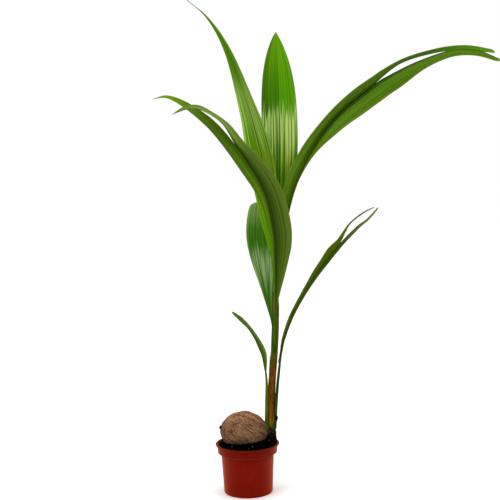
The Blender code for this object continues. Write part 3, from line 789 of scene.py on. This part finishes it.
def add_husk(finish, strand_finish, dark):
    """The nut in its coir: fibre ridges pressed into the body, and loose fibres over it."""
    shape = bmesh.new()
    bmesh.ops.create_uvsphere(shape, u_segments=HUSK_RINGS, v_segments=HUSK_ROWS, radius=1,
                              matrix=Matrix.Rotation(pi / 2, 4, "Y"))
    # Each point keeps how deep in a crack it is, for the painted crack shade.
    hollow = shape.verts.layers.float.new("hollow")
    for vert in shape.verts:
        unit = vert.co.normalized()
        lift, vert[hollow] = husk_relief(unit)
        vert.co = husk_point(max(-1.0, min(1.0, unit.x)), atan2(unit.y, unit.z), lift)
    add_piece("husk", face_out(shape, POLE, cap=True), finish, "nut_husk", "nut", smooth_angle=80)
    draw = random.Random(5)
    lines = []
    for _ in range(HUSK_STRANDS):
        along, around, reach, sway, bend, lift = [draw.uniform(*span) for span in (
            (-0.97, 0.75), (-pi, pi), (0.25, 0.8), (-0.35, 0.35), (-0.25, 0.25), (0.0001, 0.0011))]
        line = []
        for part in [step / 7 for step in range(8)]:
            arch = sin(part * pi)
            line.append(husk_point(min(0.985, along + reach * part), around + sway * part + bend * arch,
                                   lift * arch + 0.0002))
        lines.append(line)
    strands("husk_fibres", lines, HUSK_STRAND_RADIUS, strand_finish, "nut_husk")
    nub = bmesh.new()
    lean = Matrix.Rotation(NUB_TILT - pi / 2, 4, "Y")
    foot = NUT_CENTRE + lean @ Vector((0, 0, NUT_HALF.x + 0.0004))
    bmesh.ops.create_cone(nub, cap_ends=True, radius1=NUB_RADII[0], radius2=NUB_RADII[1],
                          depth=NUB_LENGTH, segments=28,
                          matrix=Matrix.Translation(foot) @ lean)
    bmesh.ops.subdivide_edges(nub, edges=[edge for edge in nub.edges if edge.calc_length() > 0.004], cuts=5,
                              use_grid_fill=True)
    for vert in nub.verts:
        vert.co += Vector((0.0008, 0.0006, 0.0006)) * noise.noise(vert.co * 420)
    add_piece("husk_nub", face_out(nub), dark, "dark_fibre", "nut_nub", smooth_angle=70)


def add_crown(dark, strand_finish):
    """The dark rough crown that the shoot breaks out of, with torn fibre and a knob on its right."""
    def crown_radius(angle, share):
        girth = blend([0.86, 1.0, 1.0, 0.92, 0.70, 0.40], share) * COLLAR_RADIUS
        lump = noise.noise(polar(2.2, angle, share * 3.0))
        return girth + 0.0022 * lump + 0.0011 * noise.noise(polar(7, angle, share * 8))

    rows = smooth_line([(COLLAR_CENTRE_X, 0, COLLAR_FOOT_Z), (COLLAR_CENTRE_X + 0.001, 0, COLLAR_TOP_Z + 0.010)], 40)
    add_piece("shoot_crown", tube(rows, 72, crown_radius), dark, "dark_fibre", "shoot_collar", smooth_angle=80)
    draw = random.Random(21)
    lines = []
    for _ in range(CROWN_STRANDS):
        angle = draw.uniform(-pi, pi)
        radius = COLLAR_RADIUS * draw.uniform(0.55, 1.0)
        foot = polar(radius, angle, draw.uniform(0.160, 0.182)) + Vector((COLLAR_CENTRE_X, 0, 0))
        lean = Vector((cos(angle) * draw.uniform(-0.3, 0.5), sin(angle) * draw.uniform(-0.3, 0.5), 1)).normalized()
        length = draw.uniform(0.006, 0.018)
        sag = Vector((draw.uniform(-1, 1), draw.uniform(-1, 1), draw.uniform(-1, 0))) * 0.0025
        lines.append([foot + lean * length * part + sag * part * part for part in (0, 0.2, 0.4, 0.6, 0.8, 1)])
    strands("crown_strands", lines, CROWN_STRAND_RADIUS, strand_finish, "dark_fibre")
    knob = bmesh.new()
    place = Matrix.Translation(KNOB_PLACE)
    bmesh.ops.create_icosphere(knob, subdivisions=4, radius=KNOB_RADIUS, matrix=place @ KNOB_SHAPE)
    for vert in knob.verts:
        vert.co += (vert.co - place.translation) * 0.45 * noise.noise(vert.co * 330)
    add_piece("torn_knob", knob, dark, "dark_fibre", smooth_angle=80)


# Stem, sheath and stalks

def stem_centre(z):
    return Vector((between(STEM_LINE, z), 0, z))


def round_stem(z, angle, clear):
    """A point round the stem at a height: its angle in radians, 0 is +X, and its clearance from the skin."""
    return stem_centre(z) + polar(between(STEM_RADII, z) + clear, angle)


def beside_stem(z, heading, clear):
    """A point beside the stem at a height: heading in degrees, 0 is +X, -90 the front."""
    return round_stem(z, radians(heading), clear + 0.0003)


def add_stem(finish):
    """The green stem of wrapped leaf bases: fine ribs, and the lapped edges of the sheaths."""
    low, high = STEM_LINE[0][1], STEM_LINE[-1][1]

    def stem_radius(angle, share):
        z = low + (high - low) * share
        rib = 0.00016 * sin(angle * 22 + 1.5 * noise.noise(polar(1, angle, z * 6)))
        lap = 0.0
        for turn, start, size in ((0.6, -2.0, 0.0007), (-0.5, 0.6, 0.0006)):
            edge = (angle - start - turn * (z - 0.3) * 9) % (2 * pi)
            lap += size * max(0.0, 1 - edge / 1.3)
        return between(STEM_RADII, z) - 0.0001 + rib + lap

    heights = [low + (high - low) * row / STEM_ROWS for row in range(STEM_ROWS + 1)]
    rows = [(stem_centre(z), Vector((0, 0, 1)), z) for z in heights]
    add_piece("stem_wrapped", tube(rows, STEM_SIDES, stem_radius), finish, "stalk_green", "stem", smooth_angle=60)


def add_sheath(finish, margin_finish, strand_finish):
    """The dry fibrous sheath round the stem, its torn slanting top and its long right margin."""
    middle = SHEATH_CLEARANCE + SHEATH_WALL / 2
    grid = []
    for row in range(SHEATH_ROWS + 1):
        ring = []
        for side in range(SHEATH_SIDES + 1):
            angle = 2 * pi * (side % SHEATH_SIDES) / SHEATH_SIDES
            around = polar(1, angle)
            tear = 0.0035 * noise.noise(around * 6) + 0.0015 * noise.noise(around * 25)
            top = SHEATH_TOP_Z + SHEATH_SLOPE * cos(angle) + tear
            foot = SHEATH_FOOT_Z + 0.010 * noise.noise(around * 2.6 + Vector((0, 0, 4)))
            z = foot + (top - foot) * row / SHEATH_ROWS
            rib = 0.00035 * noise.noise(polar(9, angle, z * 10)) + 0.00022 * noise.noise(polar(24, angle, z * 30))
            hug = 0.0012 * max(0.0, 1 - (z - foot) / 0.020) ** 2 + 0.0010 * max(0.0, 1 - (top - z) / 0.022)
            ring.append(round_stem(z, angle, middle + rib - hug))
        grid.append(ring)
    shape = face_out(add_grid(bmesh.new(), grid), SEAM)
    thicken(add_piece("sheath_fibrous", shape, finish, "dry_sheath", "sheath", smooth_angle=70), SHEATH_THICK)
    foot = SHEATH_TOP_Z + SHEATH_SLOPE - 0.012
    grid = []
    for share in [row / MARGIN_ROWS for row in range(MARGIN_ROWS + 1)]:
        z = foot + (MARGIN_TOP_Z - foot) * share
        wobble = 0.06 * noise.noise(Vector((0, 0, z * 60)))
        half_angle = MARGIN_HALF_ANGLE * (1 - share * share) + 0.01
        ring = []
        for across in [side / 8 - 1 for side in range(17)]:
            angle = half_angle * across + wobble * (1 - share)
            ripple = 0.0003 * noise.noise(Vector((angle * 9, 3, z * 70)))
            ring.append(round_stem(z, angle, middle + 0.0004 * abs(across) ** 3 + ripple))
        grid.append(ring)
    shape = face_out(add_grid(bmesh.new(), grid))
    thicken(add_piece("sheath_margin_strip", shape, margin_finish, "dry_sheath", "sheath_margin"), MARGIN_THICK)
    draw = random.Random(8)
    lines = []
    for _ in range(SHEATH_STRANDS):
        low = draw.uniform(SHEATH_FOOT_Z, SHEATH_TOP_Z - 0.03)
        high = min(SHEATH_TOP_Z + 0.004, low + draw.uniform(0.03, 0.12))
        angle, sway, lift = draw.uniform(-pi, pi), draw.uniform(-0.25, 0.25), draw.uniform(0.0, 0.0007)
        lines.append([round_stem(low + (high - low) * part, angle + sway * part,
                                 SHEATH_CLEARANCE + SHEATH_WALL + lift * sin(part * pi))
                      for part in [step / 8 for step in range(9)]])
    strands("sheath_strands", lines, SHEATH_STRAND_RADIUS, strand_finish, "dry_sheath")


def add_stalk(number, points, radii, finish):
    """A leaf stalk with a channel along its upper side and fine ribs."""
    def stalk_radius(angle, share):
        channel = 0.22 * max(0.0, -sin(angle)) ** 6
        return blend(radii, share) * (1 - channel + 0.03 * sin(angle * 9))

    node = f"leaf_{number}_stalk"
    shape = tube(smooth_line(points, 90), 36, stalk_radius)
    add_piece(node + "_channelled", shape, finish, "stalk_green", node, smooth_angle=70)


def add_stalks(olive, dark, pale):
    beside = SHEATH_CLEARANCE + SHEATH_WALL + STALK_RADIUS
    add_stalk(1, (
        (0.0610, -0.0040, 0.186), (0.0585, -0.0050, 0.214), (0.0598, -0.0062, 0.255), (0.0616, -0.0070, 0.308),
        (0.0612, -0.0070, 0.340), (0.0590, -0.0070, 0.369),
    ), (0.0050, 0.0052, 0.0050, 0.0048, 0.0036, 0.0026), olive)
    add_stalk(2, (
        beside_stem(0.188, -34, 0.0005), beside_stem(0.205, -31, 0.0030), beside_stem(0.255, -28, beside + 0.0014),
        beside_stem(0.320, -26, beside + 0.0036), beside_stem(0.372, -18, beside + 0.0050),
        (0.1065, -0.003, 0.419), (0.117, 0.003, 0.463), (0.1510, 0.0155, 0.5450),
    ), (0.0046, 0.0046, 0.0044, 0.0040, 0.0034, 0.0030, 0.0026, 0.0024), dark)
    top_x, top_z = STEM_LINE[-1]
    for number, heading, end_x, end_y in ((5, -25, 0.106, -0.003), (6, -155, 0.088, -0.004), (7, 90, 0.097, 0.0075)):
        foot = Vector((top_x, 0, top_z - 0.002)) + polar(STALK_CIRCLE, radians(heading))
        points = (foot, foot + Vector((0, 0, STALK_RISE)), (end_x, end_y, BLADE_FOOT_Z + 0.004))
        add_stalk(number, points, (STALK_RADIUS, STALK_RADIUS * 0.92), pale)


# Leaves

@dataclass(frozen=True)
class Half:
    """One side of a leaf's blade, from its rib to its outer edge. Its sizes are in millimetres."""

    width: float
    widest: float
    fold: tuple
    start: float = 0.0
    foot: float = 3.0
    swell: float = 1.2
    taper: float = 2.0
    point: float = 1.0
    lobe: tuple = ()
    widths: tuple = ()
    blunt: float = 1.2


@dataclass(frozen=True)
class Leaf:
    """A leaf: points along its rib in millimetres, the way it faces, its two halves, pleats and rib radius."""

    name: str
    rib: tuple
    faces: tuple
    left: Half
    right: Half
    nodes: tuple
    look: Look
    pleats: int = 6
    rib_radius: float = 2.2
    bow: float = 0.05
    smooth_tip: float = 0.45
    pleat_depth: float = 0.16


def half_width(half, share):
    """How far a half reaches from its rib at a share of its length, with a rounded end."""
    close = max(0.0, (share - ROUND_FROM) / (1 - ROUND_FROM))
    return max(half.blunt * share**6, plain_width(half, share)) * max(0.0, 1 - close * close) ** 0.5 * MM


def plain_width(half, share):
    if half.widths:
        return blend(half.widths, share)
    if share <= half.start:
        return half.foot
    if share < half.widest:
        part = (share - half.start) / (half.widest - half.start)
        return half.foot + (half.width - half.foot) * sin(part * pi / 2) ** half.swell
    part = min(1.0, (share - half.widest) / (1 - half.widest))
    return half.width * (1 - part**half.taper) ** half.point


def leaf_line(points, least, **ends):
    """A smooth line with as many rows as its length asks for."""
    length = sum((after - before).length for before, after in zip(points, points[1:]))
    return smooth_line(points, max(least, round(length * ROWS_PER_METRE)), **ends)


def leaf_rows(leaf, half):
    """Rows of (point, direction, share) along a half's rib and on along its lobe, and the rib's own share."""
    rib = [Vector(point) * MM for point in leaf.rib]
    lobes = [Vector(other.lobe[0]) * MM for other in (leaf.left, leaf.right) if other.lobe]
    fork = (sum(lobes, Vector()) / 2 - rib[-2]) / 2 if lobes else None
    rows = leaf_line(rib, 60, trail=fork)
    rib_length = rows[-1][2]
    if half.lobe:
        more = leaf_line([rib[-1], *(Vector(point) * MM for point in half.lobe)], 40, lead=fork)
        rows += [(place, way, rib_length + length) for place, way, length in more[1:]]
    total = rows[-1][2]
    return [(place, way, length / total) for place, way, length in rows], rib_length / total


def upward(leaf, way, share):
    """The way a leaf faces at a share of its length, square to its rib."""
    facing = blend([Vector(face) for face in leaf.faces], share)
    return (facing - way * facing.dot(way)).normalized()


def half_grid(leaf, half, side):
    """Points of a pleated half, row by row from the rib to the outer edge."""
    rows, _ = leaf_rows(leaf, half)
    columns = leaf.pleats * COLUMNS_PER_PLEAT
    seed = sum(map(ord, leaf.name)) % 17 + side
    grid = []
    for place, way, share in rows:
        up = upward(leaf, way, share)
        out = way.cross(up) * side
        fold = radians(blend(half.fold, share))
        reach = out * cos(fold) + up * sin(fold)
        rise = up * cos(fold) - out * sin(fold)
        width = half_width(half, share)
        depth = width / leaf.pleats * leaf.pleat_depth * (1 - leaf.smooth_tip * share)
        wave = 0.0016 * noise.noise(Vector((share * 9, seed, 0))) * min(1.0, width / 0.03)
        line = []
        for u in [column / columns for column in range(columns + 1)]:
            turn = (u + 0.05 * sin(pi * u) * noise.noise(Vector((u * 4, share * 2.5, seed)))) * leaf.pleats
            strong = 1 + 0.9 * noise.noise(Vector((int(turn) * 1.7, share * 4, seed + 9)))
            pleat = depth * strong * (0.5 - 0.5 * cos(2 * pi * turn)) * (1 - u**8)
            bow = leaf.bow * width * sin(pi * u)
            line.append(place + reach * width * u + rise * (pleat + bow + wave * u * u))
        grid.append(line)
    return grid, [share for _, _, share in rows]


def add_leaf(leaf, number):
    """A pleated leaf as one thin sheet, with its midrib."""
    sheet = bmesh.new()
    for half, side in ((leaf.left, -1), (leaf.right, 1)):
        grid, shares = half_grid(leaf, half, side)
        add_grid(sheet, grid, (0.5, 0.5 + side * 0.5), shares)
    finish = leaf_finish(leaf.name + "_green", leaf.look, leaf.pleats, number * 5.0)
    thicken(add_piece(leaf.name + "_pleated", face_out(sheet, SEAM), finish, "leaf_green", *leaf.nodes,
                      smooth_angle=75), BLADE_THICK)
    rows, fork = leaf_rows(leaf, leaf.left)
    thick = leaf.rib_radius * MM
    rib_rows = [(place - upward(leaf, way, share) * thick * 1.1, way, share)
                for place, way, share in rows if share <= fork * 1.0001]

    def rib_radius(angle, share):
        return thick * (1 - 0.75 * share) * (1 + 0.05 * sin(angle * 7))

    add_piece(leaf.name + "_midrib", tube(rib_rows, 16, rib_radius), rib_finish, "leaf_green", smooth_angle=70)


LEAVES = [
    Leaf(
        name="leaf_1",
        rib=((59, -7, 365), (56, -10, 412), (44, -15, 446), (19, -25, 491), (-8, -35, 526), (-36, -45, 551)),
        faces=((0.3, -0.9, 0.3), (0.3, -0.9, 0.3)),
        left=Half(8, 0.45, (10, 20, 0), widths=(3, 8.1, 11, 7.3, 5.6, 7.8, 2.6)),
        right=Half(8, 0.45, (10, 20, 0), widths=(3, 7.1, 8.5, 7.3, 6.2, 5.6, 2.8)),
        nodes=("leaf_1_small_left_blade",),
        look=Look(left=(66, 92, 8), right=(92, 112, 40), tip=(76, 110, 18), foot=(58, 88, 0), tip_span=(0.6, 0.85),
            edge=(96, 100, 24), end=(190, 165, 110)),
        pleats=3, rib_radius=1.2,
    ),
    Leaf(
        name="leaf_2",
        rib=((98.5, -5.5, 388), (106.5, -4, 419), (117, 2, 463), (149, 15, 541), (207, 28, 636), (255, 38, 696),
            (286, 45, 730)),
        faces=((-0.3, -0.9, 0.2), (-0.3, -0.9, 0.2)),
        left=Half(19, 0.52, (14, 20, 10), widths=(2.4, 5, 7.1, 7.7, 7, 7.7, 10.1, 13.1, 17.5, 11.5, 5.2, 4.8, 2.5),
            lobe=((306.5, 47, 765.7), (319.9, 50, 788.1), (342, 55, 806.8), (369.6, 60, 824.6), (397.1, 65, 837.3))),
        right=Half(14.5, 0.5, (14, 25, 10), widths=(3.6, 4.2, 5.2, 7, 8.7, 10.4, 13.5, 14.7, 13.5, 12.2, 11.2, 7.2,
            4.5), lobe=((339, 50, 782), (372, 50, 806), (404, 50, 839))),
        nodes=("leaf_2_slender_right_blade", "leaf_2_slender_right_left_lobe", "leaf_2_slender_right_right_lobe"),
        look=Look(left=(76, 96, 2), right=(56, 78, 0), tip=(92, 112, 36), foot=(62, 84, 0), tip_span=(0.7, 0.92),
            fold=(0.0, 0.35), fold_shade_reach=0.5, edge=(100, 104, 30)),
        pleats=4, rib_radius=1.6,
    ),
    Leaf(
        name="leaf_3",
        rib=(beside_stem(0.448, 100, -0.0012) * 1000, (83, 22, 505), (76, 50, 569), (73, 110, 687), (77, 180, 796),
            (82, 250, 851), (86, 320, 837), (90, 375, 779)),
        faces=(FRONT, (0, -0.9, 0.4), (0, -0.2, 1)),
        left=Half(64, 0.56, (10, 18, 16, 6, -10, -12, 0), start=0.06, swell=1.9, taper=2.6),
        right=Half(62, 0.54, (10, 18, 16, 4, -16, -16, 0), start=0.06, swell=1.9, taper=2.6),
        nodes=("leaf_3_back_blade", "leaf_3_back_tip"),
        # The pale tip colour is a painted sheen on the top of the arch.
        look=Look(left=(54, 100, 0), right=(54, 100, 0), tip=(84, 118, 48), foot=(38, 84, 0), painted_sheen=(156, 180, 124),
            painted_sheen_span=(0.2, 0.34, 0.38, 0.48), painted_sheen_share=(0.75, 0.6), tip_span=(0.55, 0.66), edge=(104, 130, 50),
            edge_share=0.5),
        pleats=7,
    ),
    Leaf(
        name="leaf_4",
        rib=(beside_stem(0.51, -92, -0.0012) * 1000, beside_stem(0.57, -91, 0.0018) * 1000, (93.5, -19, 640),
            (93, -30, 700), (91, -50, 770), (75, -80, 862), (55, -105, 920), (22, -138, 979), (-8, -165, 1028)),
        faces=(FRONT, (-0.1, -0.9, -0.3), (-0.3, -0.9, -0.3)),
        left=Half(29.2, 0.68, (10, 30, 30, 10), start=0.2, swell=1.05, taper=1.9, lobe=((-62, -195, 1096),
            (-128, -225, 1146), (-186, -245, 1170), (-228, -260, 1161))),
        right=Half(57, 0.38, (10, 10, 10, 12, 18, 36, 42, 0), start=0.04, swell=1.35, taper=2.6,
            lobe=((-46, -205, 1092.5), (-96, -255, 1127), (-134, -280, 1131), (-176, -300, 1117))),
        nodes=("leaf_4_front_left_blade", "leaf_4_front_left_left_lobe", "leaf_4_front_left_right_lobe"),
        look=Look(left=(68, 100, 0), right=(62, 88, 0), tip=(112, 154, 14), tip_right=(112, 144, 48),
            foot=(50, 78, 0), line=0.2, fold=(0.2, 0.65), fold_shade_reach=0.55, tip_span=(0.8, 0.97), tip_early=0.16,
            outer=(90, 110, 36), outer_share=(0.15, 0.6), edge=(110, 132, 50), edge_share=0.5, streak=(96, 140, 0),
            streak_share=(0.6, 0.0), streak_span=(0.25, 0.4, 0.6, 0.8)),
        rib_radius=2.6,
    ),
    Leaf(
        name="leaf_5",
        rib=((106, -3, 1000 * BLADE_FOOT_Z), (131, -8, 809), (157, 0, 900), (194, 30, 976), (247, 70, 1060),
            (314, 120, 1131), (406, 180, 1200)),
        faces=((-0.2, -1, 0.2), (-0.2, -1, 0.2)),
        left=Half(34.5, 0.27, (10, 15, 18, 16, 48, 56, 57, 56, 50, 36, 16, 6), blunt=7, widths=(3, 17, 30, 34.5, 34,
            33.5, 32.5, 33.8, 28, 15, 13.8, 14.7, 16.5, 10), lobe=((498, 222, 1267), (611, 258, 1300),
            (702, 282, 1308), (809, 303, 1299))),
        right=Half(58.5, 0.58, (75, 74, 72, 60, 27, 17, 8, 2, 22, 26, 10, 0), blunt=7, widths=(3, 3, 4, 13, 24.6,
            41.7, 54, 56.4, 54.4, 47.6, 35.3, 26.2, 18.9, 10), lobe=((466, 205, 1235), (560, 234, 1277),
            (664, 256, 1308), (746, 272, 1307), (826, 291, 1278))),
        nodes=("leaf_5_right_blade", "leaf_5_right_left_lobe", "leaf_5_right_right_lobe"),
        look=Look(left=(60, 92, 2), right=(68, 104, 0), tip=(88, 150, 2), tip_right=(80, 112, 2), foot=(34, 70, 0),
            line=0.22, fold=(0.3, 0.7), fold_shade_reach=0.28, tip_span=(0.8, 0.92), outer=(86, 118, 36),
            outer_share=(0.5, 0.0), edge=(104, 132, 56), edge_right=(140, 100, 8), end=(96, 132, 8),
            streak=(92, 128, 0), streak_share=(0.5, 0.3), streak_span=(0.0, 0.1, 0.6, 0.9)),
    ),
    Leaf(
        name="leaf_6",
        rib=((88, -4, 1000 * BLADE_FOOT_Z), (70, 2, 917), (45, 12, 1046), (22, 22, 1142), (-27, 38, 1299),
            (-84, 48, 1400), (-155, 60, 1465)),
        faces=(FRONT, FRONT),
        left=Half(43, 0.38, (10, 30, 0), foot=3.5, taper=1.0, point=1.55),
        right=Half(45, 0.42, (10, 30, 0), foot=3.5, taper=1.0, point=1.65),
        nodes=("leaf_6_tall_left_blade",),
        look=Look(left=(88, 142, 0), right=(98, 138, 14), tip=(74, 120, 0), foot=(86, 138, 0), painted_sheen=(182, 204, 122),
            painted_sheen_span=(0.42, 0.5, 0.58, 0.7), painted_sheen_share=(0.8, 0.45), painted_sheen_cut=0.58, line=0.2, line_low=0.15,
            fold=(0.15, 0.12), fold_shade_reach=0.3, tip_span=(0.58, 0.68), streak=(126, 176, 2), streak_share=(0.8, 0.0),
            outer=(104, 134, 48), outer_share=(0.0, 0.5), streak_span=(0.0, 0.1, 0.52, 0.64), edge=(132, 172, 34),
            end=(205, 205, 150)),
    ),
    Leaf(
        name="leaf_7",
        rib=((97, 7.5, 1000 * BLADE_FOOT_Z), (111, 38, 860), (117, 60, 1014), (118, 88, 1191), (114, 115, 1364)),
        faces=(FRONT, FRONT),
        left=Half(54, 0.52, (10, 12, 0), foot=3.5, taper=3.5, point=0.92, blunt=3),
        right=Half(54, 0.52, (10, 12, 0), foot=3.5, taper=2.95, point=0.92, blunt=3),
        nodes=("leaf_7_upright_blade",),
        look=Look(left=(66, 120, 0), right=(78, 136, 0), tip=(90, 144, 14), foot=(50, 96, 0), painted_sheen=(184, 208, 118),
            painted_sheen_span=(0.38, 0.58, 0.62, 0.67), painted_sheen_share=(0.95, 0.9), painted_sheen_cut=0.46, line=0.2, line_low=0.2,
            tip_span=(0.72, 0.97), foot_span=(0.45, 0.1), streak=(126, 166, 4), streak_share=(0.5, 0.9),
            streak_span=(0.05, 0.15, 0.6, 0.66), outer=(52, 96, 0), outer_share=(0.6, 0.0), edge=(78, 118, 0),
            end=(112, 134, 60)),
        bow=0.03, smooth_tip=0.9, pleat_depth=0.1,
    ),
]


# Stage

def add_floor():
    floor = bmesh.new()
    bmesh.ops.create_grid(floor, x_segments=1, y_segments=1, size=FLOOR_HALF)
    mesh = mesh_of("studio_floor", floor)
    paper = Finish("pale_floor", Specular_IOR_Level=0.1)
    cloud = paper.grain(paper.place(), 3.0, 2.0)
    mesh.materials.append(paper.finish(paper.mix((246, 246, 246), (252, 252, 252), cloud), 0.9 + cloud * 0.05))
    add_object("studio_floor", mesh)


def add_studio():
    """A pale tent: bright above, behind and at both sides, dimmer from the front, with three soft boxes."""
    world = bpy.data.worlds.new("studio")
    bpy.context.scene.world = world
    world.use_nodes = True
    world.node_tree.nodes.clear()
    tent = Finish.__new__(Finish)
    tent.tree = world.node_tree
    x, y, z = tent.split(tent.node("ShaderNodeTexCoord", output="Generated"))
    glow = (0.12 + tent.step(y, -0.35, 0.55) * 0.60 + tent.step(abs(x), 0.55, 0.95) * 0.20
            + tent.step(z, 0.25, 0.90) * 1.05)
    lit = tent.node("ShaderNodeBackground", {"Color": (1, 1, 1, 1), "Strength": glow})
    seen = tent.node("ShaderNodeBackground", {"Color": (1, 1, 1, 1), "Strength": 1.0})
    camera_ray = tent.node("ShaderNodeLightPath", output="Is Camera Ray")
    both = tent.node("ShaderNodeMixShader", {0: camera_ray, 1: lit, 2: seen})
    out = tent.tree.nodes.new("ShaderNodeOutputWorld")
    tent.tree.links.new(both.socket, out.inputs["Surface"])
    for name, place, size, power in (
        ("soft_box_left", (-2.0, -1.9, 2.5), 1.4, 30),
        ("soft_box_right", (2.3, -1.5, 2.1), 1.4, 16),
        ("soft_box_above", (0.0, -0.2, 3.3), 1.2, 18),
    ):
        light = bpy.data.lights.new(name, "AREA")
        light.shape = "SQUARE"
        light.size = size
        light.energy = power
        made = add_object(name, light)
        made.location = place
        made.rotation_euler = (PLANT_MIDDLE - Vector(place)).to_track_quat("-Z", "Y").to_euler()


def add_camera():
    """The reference view: 3.2 m in front, a little above the leaves' middle, looking slightly down."""
    lens = bpy.data.cameras.new("reference_view")
    lens.sensor_width = SENSOR_WIDTH
    lens.lens = FOCAL_PIXELS / PHOTO_SIDE * SENSOR_WIDTH
    lens.clip_end = 200.0
    camera = add_object("reference_view", lens)
    camera.matrix_world = (Matrix.Translation(CAMERA_PLACE) @ Matrix.Rotation(radians(CAMERA_PITCH), 4, "X")
                           @ Matrix.Rotation(radians(CAMERA_TURN), 4, "Z"))
    bpy.context.scene.camera = camera


rib_finish = stalk_green("yellow_midrib", (138, 142, 44), (96, 116, 20))
coir_strands = husk_fibre("coir_strands", (170, 132, 98), (66, 42, 26))
crown_dark = dark_fibre()

add_pot(pot_plastic())
add_compost(compost_earth(), perlite())
add_husk(husk_fibre("coir_husk", (154, 115, 84), (54, 32, 18), 0.9), coir_strands, crown_dark)
add_crown(crown_dark, coir_strands)
add_stem(stem_green())
add_sheath(dry_sheath("dry_sheath_fibre", 0.8), dry_sheath("dry_sheath_margin", 0.0),
           dry_sheath("dry_sheath_strands", 0.0))
add_stalks(stalk_green("olive_stalk_green", (96, 104, 8), (50, 68, 0)),
           stalk_green("dark_stalk_green", (48, 76, 2), (24, 46, 0)),
           stalk_green("pale_stalk_green", (92, 132, 18), (54, 94, 4)))
for number, leaf in enumerate(LEAVES, 1):
    add_leaf(leaf, number)
add_floor()
add_studio()
add_camera()
bpy.context.scene.view_settings.view_transform = "Standard"
